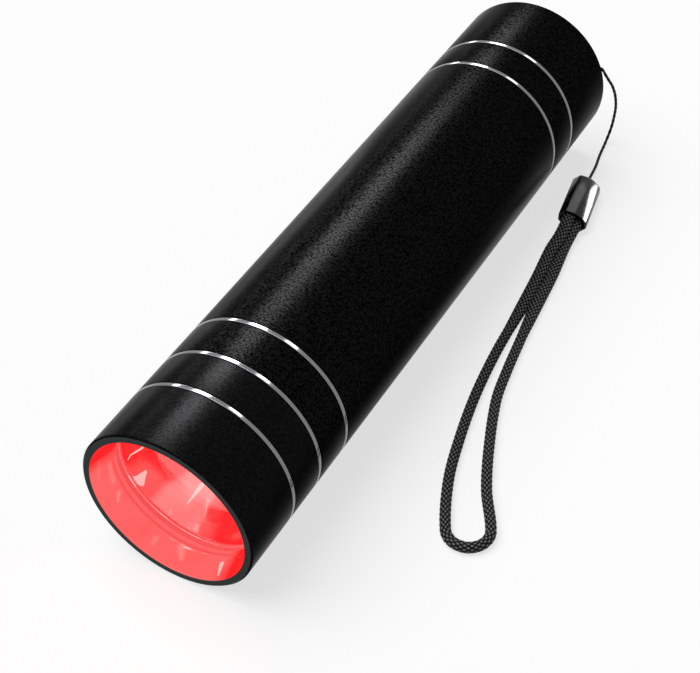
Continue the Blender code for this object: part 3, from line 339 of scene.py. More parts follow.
def rounded(corners: Sequence[Corner], closed: bool = True, steps: int = 4) -> Outline:
    """Rounds the corners of an outline.

    Args:
        corners: the outline's corners, in order.
        closed: whether the last corner joins the first.
        steps: points on each rounded corner.

    Returns:
        The outline's points, each a radius and a station.
    """
    outline: Outline = []
    count = len(corners)
    for i, corner in enumerate(corners):
        here = Vector((corner.radius, corner.station))
        ends = not closed and i in (0, count - 1)
        if corner.fillet <= 0 or ends:
            outline.append(tuple(here))
            continue
        before = Vector(corners[i - 1][:2]) - here
        after = Vector(corners[(i + 1) % count][:2]) - here
        reach = corner.fillet / math.tan(before.angle(after) / 2)
        reach = min(reach, *(side.length * MOST_OF_HALF_A_SIDE for side in (before, after)))
        start = here + before.normalized() * reach
        end = here + after.normalized() * reach
        for step in range(steps + 1):
            t = step / steps
            outline.append(tuple(start * (1 - t) ** 2 + here * 2 * t * (1 - t) + end * t**2))
    return outline


def circle(radius: float, station: float, reach: float, steps: int = ROUND_STEPS) -> Outline:
    """A round outline.

    Args:
        radius: its middle's radius.
        station: its middle's station.
        reach: its own radius.
        steps: its number of points.

    Returns:
        The outline's points.
    """
    turns = [TURN * i / steps for i in range(steps)]
    return [(radius + reach * math.cos(a), station + reach * math.sin(a)) for a in turns]


class Shaper:
    """Builds meshes in the wand's frame."""

    def __init__(self, wand: Wand) -> None:
        """Keeps the wand's frame."""
        self.wand = wand

    @staticmethod
    def piece(
        name: str,
        verts: Sequence[Sequence[float]],
        faces: Sequence[Sequence[int]],
        sharp: float = SMOOTH_BELOW,
    ) -> Piece:
        """Makes a piece from its points and faces.

        Args:
            name: the piece's name.
            verts: its points.
            faces: its faces, as places in verts.
            sharp: degrees above which an edge stays sharp.

        Returns:
            The new piece.
        """
        mesh = bpy.data.meshes.new(name)
        mesh.from_pydata([tuple(v) for v in verts], [], [tuple(f) for f in faces])
        Shaper.tidy(mesh, sharp)
        made = bpy.data.objects.new(name, mesh)
        bpy.context.scene.collection.objects.link(made)
        return made

    @staticmethod
    def tidy(mesh: bpy.types.Mesh, sharp: float = SMOOTH_BELOW) -> None:
        """Joins doubled points, turns the faces outwards and smooths the small angles."""
        bm = bmesh.new()
        bm.from_mesh(mesh)
        bmesh.ops.remove_doubles(bm, verts=bm.verts, dist=JOIN_WITHIN)
        bmesh.ops.recalc_face_normals(bm, faces=bm.faces)
        bm.to_mesh(mesh)
        bm.free()
        mesh.shade_smooth()
        mesh.set_sharp_from_angle(angle=math.radians(sharp))

    def turned(
        self,
        name: str,
        outline: Sequence[Pair],
        steps: Fineness = Fineness.BARREL,
        span: Pair | None = None,
        place: Callable[[float, float, float], Vector] | None = None,
    ) -> Piece:
        """Turns a closed outline about the wand's axis.

        Args:
            name: the piece's name.
            outline: its points, each a radius and a station; one on the axis joins nothing.
            steps: steps of a whole turn.
            span: the first and last angle, for a piece that doesn't go all the way round.
            place: puts a radius, angle and station in space; the wand's own by default.

        Returns:
            The new piece.
        """
        put = place or self.wand.at
        start, end = span or (0.0, TURN)
        count = max(3, round(steps.value * (end - start) / TURN))
        rings = count if span is None else count + 1
        verts: list[Vector] = []
        rows: list[list[int]] = []
        for radius, station in outline:
            if radius <= ON_AXIS:
                rows.append([len(verts)] * rings)
                verts.append(put(0.0, 0.0, station))
                continue
            rows.append(list(range(len(verts), len(verts) + rings)))
            verts += [put(radius, start + (end - start) * i / count, station) for i in range(rings)]
        faces: list[list[int]] = []
        for row, following in zip(rows, rows[1:] + rows[:1]):
            for i in range(count):
                j = (i + 1) % rings
                corners = [row[i], row[j], following[j], following[i]]
                unique = list(dict.fromkeys(corners))
                if len(unique) > 2:
                    faces.append(unique)
        if span is not None:
            faces.append([row[0] for row in rows])
            faces.append([row[-1] for row in reversed(rows)])
        return self.piece(name, verts, faces)

    def sleeve(self, name: str, corners: Sequence[Corner], steps: Fineness = Fineness.BARREL) -> Piece:
        """Turns an outline whose corners are rounded.

        Args:
            name: the piece's name.
            corners: the outline's corners, in order.
            steps: steps of a whole turn.

        Returns:
            The new piece.
        """
        return self.turned(name, rounded(corners), steps)

    @staticmethod
    def loft(name: str, loops: Sequence[Sequence[Vector]], sharp: float = SMOOTH_BELOW) -> Piece:
        """Skins a row of closed loops of as many points each, and caps its ends.

        Args:
            name: the piece's name.
            loops: the loops, in order.
            sharp: degrees above which an edge stays sharp.

        Returns:
            The new piece.
        """
        size = len(loops[0])
        verts = [point for loop in loops for point in loop]
        faces: list[Sequence[int]] = []
        for row in range(len(loops) - 1):
            for i in range(size):
                j = (i + 1) % size
                a, b = row * size, (row + 1) * size
                faces.append((a + i, a + j, b + j, b + i))
        faces.append(tuple(reversed(range(size))))
        faces.append(tuple(range(len(verts) - size, len(verts))))
        return Shaper.piece(name, verts, faces, sharp)

    @staticmethod
    def settle(made: Piece) -> Piece:
        """Applies a piece's modifiers to its mesh."""
        bpy.context.view_layer.update()
        graph = bpy.context.evaluated_depsgraph_get()
        solid = bpy.data.meshes.new_from_object(made.evaluated_get(graph))
        made.modifiers.clear()
        made.data = solid
        Shaper.tidy(solid)
        return made

    @staticmethod
    def combine(made: Piece, other: Piece, operation: str) -> Piece:
        """Cuts another shape out of a piece, or joins it on, and removes that shape.

        Args:
            made: the piece.
            other: the shape.
            operation: the Boolean modifier's operation.

        Returns:
            The changed piece.
        """
        modifier = made.modifiers.new("combine", "BOOLEAN")
        modifier.operation = operation
        modifier.solver = "EXACT"
        modifier.object = other
        Shaper.settle(made)
        bpy.data.objects.remove(other)
        return made

    @staticmethod
    def soften(made: Piece, width: float, segments: int = 3) -> Piece:
        """Rounds the sharp edges of a piece.

        Args:
            made: the piece.
            width: how wide each rounding is.
            segments: its number of steps.

        Returns:
            The changed piece.
        """
        modifier = made.modifiers.new("soften", "BEVEL")
        modifier.width = width
        modifier.segments = segments
        modifier.limit_method = "ANGLE"
        modifier.angle_limit = math.radians(BEVEL_ABOVE)
        return Shaper.settle(made)

    @staticmethod
    def block(name: str, size: Sequence[float], centre: Sequence[float]) -> Piece:
        """A box.

        Args:
            name: the piece's name.
            size: its three sides.
            centre: its middle.

        Returns:
            The new piece.
        """
        ends = [(c - s / 2, c + s / 2) for s, c in zip(size, centre)]
        corners = [(x, y, z) for x in ends[0] for y in ends[1] for z in ends[2]]
        faces = [(0, 1, 3, 2), (4, 6, 7, 5), (0, 4, 5, 1), (2, 3, 7, 6), (0, 2, 6, 4), (1, 5, 7, 3)]
        return Shaper.piece(name, corners, faces)

    @staticmethod
    def rod(name: str, start: Vector, end: Vector, radius: float, sides: int = 48) -> Piece:
        """A round rod from one point to another.

        Args:
            name: the piece's name.
            start: the middle of its first end.
            end: the middle of its last end.
            radius: its radius.
            sides: points round it.

        Returns:
            The new piece.
        """
        turn = (end - start).to_track_quat("Z", "Y").to_matrix()
        ring = [turn @ Vector((x, y, 0)) for x, y in circle(0.0, 0.0, 1.0, sides)]
        return Shaper.loft(name, [[middle + p * radius for p in ring] for middle in (start, end)])


class Route:
    """A smooth curve through given points."""

    def __init__(self, points: Sequence[Point], step: float, fineness: int = 24) -> None:
        """Reads evenly spaced points from the smooth curve.

        Args:
            points: the route's own points.
            step: distance between the points that are kept.
            fineness: samples between two of the route's points.
        """
        route = [Vector(p) for p in points]
        padded = [2 * route[0] - route[1], *route, 2 * route[-1] - route[-2]]
        fine: list[Vector] = []
        for before, here, ahead, after in zip(padded, padded[1:], padded[2:], padded[3:]):
            span = (ahead - here).length
            leave = (ahead - before) * (span / ((here - before).length + span))
            arrive = (after - here) * (span / ((after - ahead).length + span))
            for i in range(fineness):
                t = i / fineness
                fine.append(
                    here * (2 * t**3 - 3 * t**2 + 1)
                    + leave * (t**3 - 2 * t**2 + t)
                    + ahead * (3 * t**2 - 2 * t**3)
                    + arrive * (t**3 - t**2)
                )
        fine.append(route[-1])
        travelled = [0.0]
        for a, b in zip(fine, fine[1:]):
            travelled.append(travelled[-1] + (b - a).length)
        self.length = travelled[-1]
        count = max(2, round(self.length / step))
        self.points: list[Vector] = []
        at = 0
        for i in range(count + 1):
            wanted = self.length * i / count
            while at < len(fine) - 2 and travelled[at + 1] < wanted:
                at += 1
            share = (wanted - travelled[at]) / (travelled[at + 1] - travelled[at])
            self.points.append(fine[at].lerp(fine[at + 1], share))

    def frames(self, level: bool = False) -> list[tuple[Vector, Vector, Vector]]:
        """Each point with two directions across the route.

        Args:
            level: whether the first direction is level; otherwise the two don't twist.

        Returns:
            The points, each with its two directions.
        """
        points = self.points
        ahead = [(b - a).normalized() for a, b in zip(points, points[1:])]
        tangents = [ahead[0], *[(a + b).normalized() for a, b in zip(ahead, ahead[1:])], ahead[-1]]
        side = tangents[0].orthogonal().normalized()
        made = []
        for point, tangent in zip(points, tangents):
            if level:
                side = tangent.cross(Vector((0, 0, 1)))
            side = (side - tangent * side.dot(tangent)).normalized()
            made.append((point, side, tangent.cross(side)))
        return made

    def sweep(
        self, name: str, sides: int, radius: Callable[[float, float], float], level: bool = False
    ) -> Piece:
        """A tube along the route.

        Args:
            name: the piece's name.
            sides: points round the tube.
            radius: gives the radius from the angle round the tube and the distance along it.
            level: whether angle 0 stays level.

        Returns:
            The new piece.
        """
        step = self.length / (len(self.points) - 1)
        loops = []
        for row, (point, side, across) in enumerate(self.frames(level)):
            loop = []
            for i in range(sides):
                angle = TURN * i / sides
                reach = radius(angle, row * step)
                loop.append(point + side * (reach * math.cos(angle)) + across * (reach * math.sin(angle)))
            loops.append(loop)
        return Shaper.loft(name, loops, sharp=TUBE_SMOOTH_BELOW)


def show(made: Piece, finish: "Finish", *nodes: str, body: Body = Body.WAND) -> Piece:
    """Dresses a piece, lets it ride on its body and hides what it stands for.

    Args:
        made: the piece.
        finish: its finish.
        nodes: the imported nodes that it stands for.
        body: the body that carries it.

    Returns:
        The same piece.
    """
    made.data.materials.clear()
    made.data.materials.append(finish.material())
    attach(made, body.value)
    if nodes:
        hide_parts(*nodes)
    LOG.info("%s rides on %s, stands for %s", made.name, body.value, ", ".join(nodes) or "nothing")
    return made


# ---- finishes


@dataclass(frozen=True)
class Finish:
    """A finish, made into a material once."""

    slot: str
    name: str
    rough: ClassVar[Pair] = (0.0, 0.5)
    made: ClassVar[dict[str, bpy.types.Material]] = {}

    def polish(self, noise: Socket) -> Socket:
        """A roughness that swings with a noise over its base."""
        swing, base = self.rough
        return noise * swing + base

    def material(self) -> bpy.types.Material:
        """The finish's material."""
        if self.name not in Finish.made:
            tree = ShaderTree(self.name)
            self.paint(tree)
            Finish.made[self.name] = tree.material
        return Finish.made[self.name]

    def paint(self, tree: ShaderTree) -> None:
        """Feeds the shader of a new tree."""
        raise NotImplementedError


class Stroke(NamedTuple):
    """A painted streak, used both for reflected light and for shade: its ends, half widths, soft edge and
    strength, in degrees and millimetres.
    """

    start: Pair
    end: Pair
    halves: Pair
    blur: float
    strength: float


@dataclass(frozen=True)
class Streaks:
    """Painted streaks on one turned surface, pale ones for reflected light and dark ones for shade."""

    wand: Wand
    colour: Colour
    strokes: tuple[Stroke, ...]
    radius_at: Callable[[float], float]

    def over(self, tree: ShaderTree, light: Socket) -> Socket:
        """Lays the painted streaks over a colour of painted light."""
        for stroke in self.strokes:
            ends = [
                self.wand.at(self.radius_at(station * MM), math.radians(angle), station * MM)
                for angle, station in (stroke.start, stroke.end)
            ]
            first, last = stroke.halves
            mask = tree.brush(*ends, (first * MM, last * MM), stroke.blur * MM) * stroke.strength
            light = tree.mix(mask, light, self.colour)
        return light


@dataclass(frozen=True)
class BlackAnodised(Finish):
    """Fine-blasted aluminium under a black anodic skin."""

    slot: str = "black_anodised"
    name: str = "black_anodised_blasted"
    grain: float = 0.50 * MM
    fine_grain: float = 0.28 * MM
    depth: float = 0.013 * MM
    dark: Colour = (0.0002,) * 3
    light: Colour = (0.0060, 0.0060, 0.0062)
    edge_tint: Colour = (0.50,) * 3
    contrast: float = 6.0
    roughness: float = 0.29
    roughness_swing: float = 0.08
    smudge: float = 22 * MM
    smudge_swing: float = 0.05

    def tone(self, tree: ShaderTree, skin: Socket) -> Socket:
        """The skin's colour all over, as nothing covers it here."""
        return skin

    def paint(self, tree: ShaderTree) -> None:
        """A speckled skin whose pits catch the light."""
        coarse = tree.noise(self.grain, 3.0)
        fine = tree.noise(self.fine_grain, 1.0)
        speck = coarse * 0.5 + fine * 0.5
        sharp = (speck - 0.5) * self.contrast + 0.5
        smudge = tree.noise(self.smudge, 2.0)
        tree.set(
            Base_Color=self.tone(tree, tree.mix(sharp, self.dark, self.light)),
            Metallic=1.0,
            Roughness=speck * self.roughness_swing
            + smudge * self.smudge_swing
            + (self.roughness - (self.roughness_swing + self.smudge_swing) / 2),
            Specular_Tint=self.edge_tint,
        )
        tree.bump(speck, self.depth)


@dataclass(frozen=True)
class LitBezel(BlackAnodised):
    """The bezel's skin, with the red light that its mouth catches from the lens painted on as emission."""

    name: str = "black_anodised_lit_mouth"
    wand: Wand | None = None
    mouth: float = 15.86 * MM
    lip: float = 14.9 * MM
    mouth_depth: float = 5.5 * MM
    pocket: float = 15.95 * MM
    pocket_depth: float = 9.9 * MM
    # painted light: the deep, middle and pale reds of the LED's light on the mouth's wall, and the painted
    # shade at its lip
    deep: Colour = (1.0, 0.012, 0.015)
    middle: Colour = (1.0, 0.135, 0.132)
    pale: Colour = (1.0, 0.50, 0.46)
    shade: Colour = (0.93, 0.085, 0.088)
    lobe: float = math.radians(-118)
    rim: Colour = (0.034, 0.042, 0.042)
    rim_depth: Pair = (0.25 * MM, 0.08 * MM)
    rim_edge: Pair = (17.15 * MM, 0.05 * MM)
    cloud: float = 5 * MM
    ray_count: float = 41.0
    ray_waves: float = 9.0
    ray_glow: float = 0.06
    glow: Pair = (0.5, 0.72)
    pocket_blur: float = 0.02 * MM
    depth_blur: float = 0.1 * MM
    face_cut: Pair = (0.12 * MM, 0.12 * MM)
    lobe_edge: Pair = (0.36, 0.16)
    shade_offset: float = 0.05 * MM
    shade_reach: float = 0.45 * MM
    dark: Colour = (0.0026, 0.0026, 0.0027)
    light: Colour = (0.0060, 0.0060, 0.0062)
    # painted reflections: pale streaks of the LED's light on the mouth's wall
    strokes: tuple[Stroke, ...] = (
        Stroke((182.8, 4.6), (196.8, 4.3), (0.35, 0.45), 0.9, 0.20),
        Stroke((171.0, 2.4), (186.0, 2.0), (0.30, 0.40), 0.9, 0.12),
        Stroke((207.0, 4.2), (211.0, 3.2), (0.35, 0.25), 0.8, 0.30),
        Stroke((302.9, 3.6), (305.6, 1.3), (0.55, 0.20), 0.25, 0.95),
        Stroke((255.6, 4.9), (272.0, 4.9), (0.08, 0.20), 0.12, 0.60),
        Stroke((268.0, 4.8), (285.0, 5.1), (0.22, 0.06), 0.12, 0.80),
        Stroke((266.0, 4.4), (271.0, 2.6), (0.70, 0.35), 1.1, 0.28),
        Stroke((248.0, 3.4), (248.4, 2.4), (0.45, 0.30), 0.8, 0.20),
        Stroke((303.0, 4.6), (322.0, 4.4), (0.05, 0.10), 0.12, 0.22),
        Stroke((309.0, 3.2), (327.0, 2.6), (0.05, 0.10), 0.12, 0.18),
        Stroke((24.0, 4.6), (28.0, 1.6), (0.45, 0.20), 0.4, 0.50),
        Stroke((96.0, 4.4), (104.0, 4.0), (0.30, 0.40), 0.8, 0.25),
    )

    def wall(self, station: float) -> float:
        """Radius of the mouth's wall at a station."""
        return self.mouth + (self.lip - self.mouth) * min(1.0, station / self.mouth_depth)

    def tone(self, tree: ShaderTree, skin: Socket) -> Socket:
        """The skin's colour, and that of the plainer rim round the mouth."""
        radius, angle, station = self.wand.polar(tree)
        face = station.below(*self.rim_depth) * radius.below(*self.rim_edge)
        return tree.mix(face, skin, self.rim)

    def paint(self, tree: ShaderTree) -> None:
        """The blasted skin, and the red light inside the mouth, painted as emission with painted reflected
        streaks and a painted shaded lip.
        """
        super().paint(tree)
        radius, angle, station = self.wand.polar(tree)
        inside = radius.below(self.pocket, self.pocket_blur)
        inside = inside * station.below(self.pocket_depth, self.depth_blur)
        inside = inside * station.above(*self.face_cut)
        cloud = tree.noise(self.cloud, 2.0)
        lobe = (angle - self.lobe).math("COSINE").above(*self.lobe_edge)
        ray = (angle * self.ray_count + cloud * self.ray_waves).math("SINE") * 0.5 + 0.5
        swing, base = self.glow
        glow = lobe * (cloud * swing + base) + ray * self.ray_glow - self.ray_glow / 2
        light = tree.mix(glow, self.deep, self.middle)
        light = Streaks(self.wand, self.pale, self.strokes, self.wall).over(tree, light)
        # painted shade: a darker arc along the lip
        lip = station.near(self.mouth_depth + self.shade_offset, self.shade_reach)
        light = tree.mix(lip * lobe, light, self.shade)
        # the bezel is no lamp; this emission paints the light that its mouth catches
        tree.set(Emission_Color=tree.mix(inside, NO_LIGHT, light), Emission_Strength=1.0)


@dataclass(frozen=True)
class BrightCut(Finish):
    """Bare aluminium, cut with a diamond tool."""

    slot: str = "bright_cut"
    name: str = "bright_cut_aluminium"
    wand: Wand | None = None
    colour: Colour = (0.20, 0.20, 0.205)
    darker: Colour = (0.16, 0.16, 0.165)
    line: float = 0.05 * MM
    stain: float = 3 * MM
    depth: float = 0.001 * MM
    rough: ClassVar[Pair] = (0.06, 0.09)

    def paint(self, tree: ShaderTree) -> None:
        """Polished metal with fine lines of the turning tool."""
        radius, angle, station = self.wand.polar(tree)
        lines = (station / self.line).math("SINE") * 0.5 + 0.5
        tint = tree.noise(self.stain, 2.0)
        tree.set(
            Base_Color=tree.mix(tint, self.colour, self.darker),
            Metallic=1.0,
            Roughness=self.polish(tint),
        )
        tree.bump(lines, self.depth, 0.5)


@dataclass(frozen=True)
class LensGlass(Finish):
    """Clear coated glass, its ground edge lit by the bowl."""

    slot: str = "clear_glass"
    name: str = "clear_lens"
    wand: Wand | None = None
    edge: float = 15.25 * MM
    edge_blur: float = 0.05 * MM
    haze: float = 4 * MM
    edge_light: Colour = (0.80, 0.055, 0.058)

    def paint(self, tree: ShaderTree) -> None:
        """Clear glass with the faintest haze, and painted red light on its ground edge."""
        radius, angle, station = self.wand.polar(tree)
        haze = tree.noise(self.haze, 3.0)
        rim = radius.above(self.edge, self.edge_blur)
        tree.set(
            Base_Color=(1.0, 0.98, 0.98),
            Roughness=haze * 0.02,
            IOR=1.45,
            Transmission_Weight=1.0,
            Specular_IOR_Level=0.12,
            # painted light: the ground edge glows red as emission, though the glass is no lamp
            Emission_Color=tree.mix(rim, NO_LIGHT, self.edge_light),
            Emission_Strength=1.0,
        )


@dataclass(frozen=True)
class LitBowl(Finish):
    """Mirror-bright bowl that the LED fills with red light, painted as emission, with painted pale streaks
    of its own reflections and painted dark strokes of shade.
    """

    slot: str = "red_lit_mirror"
    name: str = "red_lit_mirror_bowl"
    wand: Wand | None = None
    front: float = 9.8 * MM
    back: float = 20.77 * MM
    mouth: float = 14.6 * MM
    hole: float = 3.7 * MM
    # painted light: the red glow that the LED throws into the bowl, in deep, middle, salmon and pale
    deep: Colour = (1.0, 0.008, 0.011)
    middle: Colour = (1.0, 0.105, 0.107)
    salmon: Colour = (1.0, 0.300, 0.290)
    pale: Colour = (1.0, 0.60, 0.56)
    # the colour of the dark strokes of painted shade
    dark: Colour = (0.72, 0.0, 0.004)
    broad_lobe: float = math.radians(-121)
    pale_lobe: float = math.radians(-112)
    cloud: float = 5.5 * MM
    ray_count: float = 23.0
    ray_waves: float = 6.0
    ray_glow: float = 0.12
    glow: Pair = (0.6, 0.62)
    plume_glow: Pair = (0.9, 0.28)
    broad_edge: Pair = (0.77, 0.11)
    plume_edge: Pair = (0.942, 0.022)
    end_blur: float = 0.12
    metal: Colour = (0.70, 0.004, 0.004)
    edge_tint: Colour = (0.60, 0.03, 0.03)
    depth_blur: float = 0.9 * MM
    # where painted shade deepens the glow towards the foot, over a band of angles
    shade_foot: float = 11.9 * MM
    shade_rise: float = 2.9 * MM
    shade_ends: Pair = (math.radians(-170), math.radians(-127))
    # painted reflections: pale streaks of the LED's light in the bowl
    strokes: tuple[Stroke, ...] = (
        Stroke((246.0, 14.6), (252.0, 12.4), (0.80, 0.50), 2.2, 0.16),
        Stroke((300.0, 10.6), (318.0, 11.2), (0.50, 0.40), 1.6, 0.12),
        Stroke((188.6, 12.6), (189.4, 10.55), (0.26, 0.15), 0.14, 1.0),
        Stroke((189.4, 10.55), (192.2, 9.80), (0.15, 0.10), 0.14, 0.9),
        Stroke((209.3, 11.5), (212.0, 9.82), (0.38, 1.25), 0.22, 0.90),
        Stroke((251.6, 15.6), (250.8, 12.9), (0.40, 0.11), 0.16, 1.0),
        Stroke((264.0, 14.6), (268.4, 12.4), (0.22, 0.08), 0.20, 0.40),
        Stroke((266.5, 10.7), (267.0, 9.90), (0.30, 0.50), 0.7, 0.40),
        Stroke((244.0, 10.4), (244.6, 9.90), (0.20, 0.35), 0.5, 0.25),
        Stroke((27.0, 12.2), (31.0, 9.90), (0.26, 0.60), 0.18, 0.90),
        Stroke((68.0, 14.6), (70.0, 12.2), (0.34, 0.12), 0.16, 0.90),
        Stroke((112.0, 11.8), (114.0, 9.90), (0.20, 0.12), 0.14, 0.90),
        Stroke((134.0, 13.6), (146.0, 10.9), (0.90, 0.80), 2.4, 0.22),
    )
    # painted shade: dark strokes laid over the glow
    painted_shade_strokes: tuple[Stroke, ...] = (
        Stroke((257.3, 14.8), (265.6, 12.6), (0.04, 0.03), 0.14, 0.55),
        Stroke((196.0, 13.6), (201.0, 11.2), (0.10, 0.06), 0.35, 0.35),
        Stroke((224.0, 14.6), (222.0, 12.0), (0.16, 0.10), 0.60, 0.35),
        Stroke((290.0, 13.2), (297.0, 10.4), (0.12, 0.06), 0.40, 0.35),
        Stroke((276.0, 13.4), (286.0, 15.0), (1.7, 1.7), 1.6, 0.75),
    )
    rough: ClassVar[Pair] = (0.12, 0.06)

    def bowl(self, station: float) -> float:
        """Radius of the bowl at a station."""
        share = (self.back - station) / (self.back - self.front)
        return math.sqrt(self.hole**2 + (self.mouth**2 - self.hole**2) * share)

    def paint(self, tree: ShaderTree) -> None:
        """A painted glow, with painted shade that deepens it towards the bowl's foot over a band of angles,
        and the painted streaks of reflection and shade over it.
        """
        radius, angle, station = self.wand.polar(tree)
        cloud = tree.noise(self.cloud, 3.0)
        ray = (angle * self.ray_count + cloud * self.ray_waves).math("SINE") * 0.5 + 0.5
        broad = (angle - self.broad_lobe).math("COSINE").above(*self.broad_edge)
        swing, base = self.glow
        glow = broad * (cloud * swing + base) + ray * self.ray_glow - self.ray_glow / 2
        light = tree.mix(glow, self.deep, self.middle)
        # a painted paler plume of light on one side
        plume = (angle - self.pale_lobe).math("COSINE").above(*self.plume_edge)
        swing, base = self.plume_glow
        light = tree.mix(plume * (cloud * swing + base), light, self.salmon)
        # painted shade: the glow turns deep red past a station that rises with the angle
        first, last = self.shade_ends
        depth = (station - (angle - first) * self.shade_rise).above(self.shade_foot, self.depth_blur)
        light = tree.mix(depth * angle.below(last, self.end_blur), light, self.deep)
        light = Streaks(self.wand, self.dark, self.painted_shade_strokes, self.bowl).over(tree, light)
        light = Streaks(self.wand, self.pale, self.strokes, self.bowl).over(tree, light)
        tree.set(
            Base_Color=self.metal,
            Metallic=1.0,
            Specular_Tint=self.edge_tint,
            Roughness=self.polish(cloud),
            # the bowl is no lamp; this emission paints the LED's light into it
            Emission_Color=light,
            Emission_Strength=1.0,
        )


@dataclass(frozen=True)
class LitSilicone(Finish):
    """The LED's dome over its red chip."""

    slot: str = "led_silicone"
    name: str = "lit_led_dome"
    wand: Wand | None = None
    core: Pair = (1.2 * MM, 0.6 * MM)
    grain: float = 0.5 * MM
    foot: Colour = (1.0, 0.06, 0.04)
    hot: Colour = (1.0, 0.72, 0.66)
    rough: ClassVar[Pair] = (0.1, 0.12)

    def paint(self, tree: ShaderTree) -> None:
        """White-hot in the middle and red at the foot."""
        radius, angle, station = self.wand.polar(tree)
        tree.set(
            Base_Color=(1.0, 0.30, 0.22),
            Roughness=self.polish(tree.noise(self.grain)),
            Emission_Color=tree.mix(radius.below(*self.core), self.foot, self.hot),
            Emission_Strength=1.6,
        )


@dataclass(frozen=True)
class Moulded(Finish):
    """Moulded plastic or rubber with a spark-eroded texture, and painted light on pieces that catch the
    LED's light.
    """

    slot: str
    name: str
    colour: Colour = (0.02, 0.02, 0.02)
    roughness: float = 0.5
    grain: float = 0.10 * MM
    depth: float = 0.006 * MM
    # painted light: an emission colour for pieces that catch the LED's red light
    lit: Colour = NO_LIGHT
    swing: float = 0.16
    blotch: float = 3 * MM
    lighter: Pair = (1.35, 0.002)

    def paint(self, tree: ShaderTree) -> None:
        """A fine even texture with slight blotches, and the painted light as emission."""
        fine = tree.noise(self.grain, 2.0)
        blotch = tree.noise(self.blotch, 3.0)
        times, plus = self.lighter
        lighter = tuple(c * times + plus for c in self.colour)
        tree.set(
            Base_Color=tree.mix(blotch, self.colour, lighter),
            Roughness=fine * self.swing + (self.roughness - self.swing / 2),
            # painted light: emission, though the piece is no lamp
            Emission_Color=self.lit,
            Emission_Strength=1.0 if any(self.lit) else 0.0,
        )
        tree.bump(fine, self.depth)


@dataclass(frozen=True)
class TurnedMetal(Finish):
    """Turned or drawn metal with fine lines round the wand's axis."""

    slot: str
    name: str
    wand: Wand | None = None
    colour: Colour = (0.66, 0.66, 0.66)
    roughness: float = 0.25
    line: float = 0.12 * MM
    stretch: float = 0.001
    tarnish: float = 2.5 * MM
    darkening: float = 0.7
    depth: float = 0.004 * MM

    def paint(self, tree: ShaderTree) -> None:
        """Lines of the tool, and slight tarnish."""
        radius, angle, station = self.wand.polar(tree)
        along = tree.node("ShaderNodeCombineXYZ", [radius, station, angle * self.stretch])
        lines = tree.noise(self.line, 1.0, along)
        tarnish = tree.noise(self.tarnish, 3.0)
        darker = tuple(c * self.darkening for c in self.colour)
        tree.set(
            Base_Color=tree.mix(tarnish, self.colour, darker),
            Metallic=1.0,
            Roughness=lines * 0.14 + tarnish * 0.08 + (self.roughness - 0.1),
        )
        tree.bump(lines, self.depth)


@dataclass(frozen=True)
class SolderMask(Finish):
    """A printed board's skin over its copper."""

    slot: str
    name: str
    mask: Colour = (0.02, 0.16, 0.07)
    track: Colour = (0.05, 0.26, 0.12)
    cell: float = 1.4 * MM
    track_at: Pair = (0.42, 0.10)
    depth: float = 0.02 * MM
    rough: ClassVar[Pair] = (0.1, 0.3)

    def paint(self, tree: ShaderTree) -> None:
        """Raised tracks under the mask."""
        wanted = {"Vector": tree.place(), "Scale": 1.0 / self.cell}
        cells = tree.node("ShaderNodeTexVoronoi", wanted, distance="MANHATTAN")
        lines = cells.near(*self.track_at)
        tree.set(Base_Color=tree.mix(lines, self.mask, self.track), Roughness=self.polish(lines))
        tree.bump(lines, self.depth)


@dataclass(frozen=True)
class Shrink(Finish):
    """Shrunk plastic film over the cell."""

    slot: str = "cell_wrap"
    name: str = "cell_film"
    dark: Colour = (0.02, 0.10, 0.32)
    light: Colour = (0.03, 0.13, 0.38)
    ripple: float = 1.5 * MM
    depth: float = 0.02 * MM
    rough: ClassVar[Pair] = (0.1, 0.22)

    def paint(self, tree: ShaderTree) -> None:
        """Smooth film with faint ripples."""
        ripple = tree.noise(self.ripple, 3.0)
        tree.set(Base_Color=tree.mix(ripple, self.dark, self.light), Roughness=self.polish(ripple))
        tree.bump(ripple, self.depth)


@dataclass(frozen=True)
class BlackNickel(Finish):
    """Glossy black plating."""

    slot: str = "ferrule_gloss"
    name: str = "glossy_black_nickel"
    dark: Colour = (0.020, 0.020, 0.0205)
    light: Colour = (0.032, 0.032, 0.033)
    wave: float = 1.8 * MM
    depth: float = 0.01 * MM
    rough: ClassVar[Pair] = (0.05, 0.135)

    def paint(self, tree: ShaderTree) -> None:
        """A dark mirror with slight waves."""
        wave = tree.noise(self.wave, 2.0)
        tree.set(
            Base_Color=tree.mix(wave, self.dark, self.light),
            Metallic=1.0,
            Roughness=self.polish(wave),
        )
        tree.bump(wave, self.depth)


@dataclass(frozen=True)
class Woven(Finish):
    """Black yarn, its relief already in the mesh."""

    slot: str
    name: str
    yarn: float = 0.09 * MM
    dark: Colour = (0.0015, 0.0015, 0.0016)
    # glint: a painted highlight on the yarns' crowns
    glint: Colour = (0.200, 0.200, 0.206)
    crown: Pair = (0.72, 0.22)
    depth: float = 0.012 * MM
    rough: ClassVar[Pair] = (0.2, 0.50)

    def paint(self, tree: ShaderTree) -> None:
        """Fine fibres, with a painted glint on the crowns of the yarns."""
        crown = tree.node("ShaderNodeAttribute", output="Fac", attribute_name="crown")
        fibre = tree.noise(self.yarn, 2.0)
        # painted highlight: the crowns take the glint colour
        pale = crown.above(*self.crown) * (fibre * 0.9 + 0.35)
        tree.set(
            Base_Color=tree.mix(pale, self.dark, self.glint),
            Roughness=self.polish(fibre),
            Specular_IOR_Level=0.07,
        )
        tree.bump(fibre, self.depth)


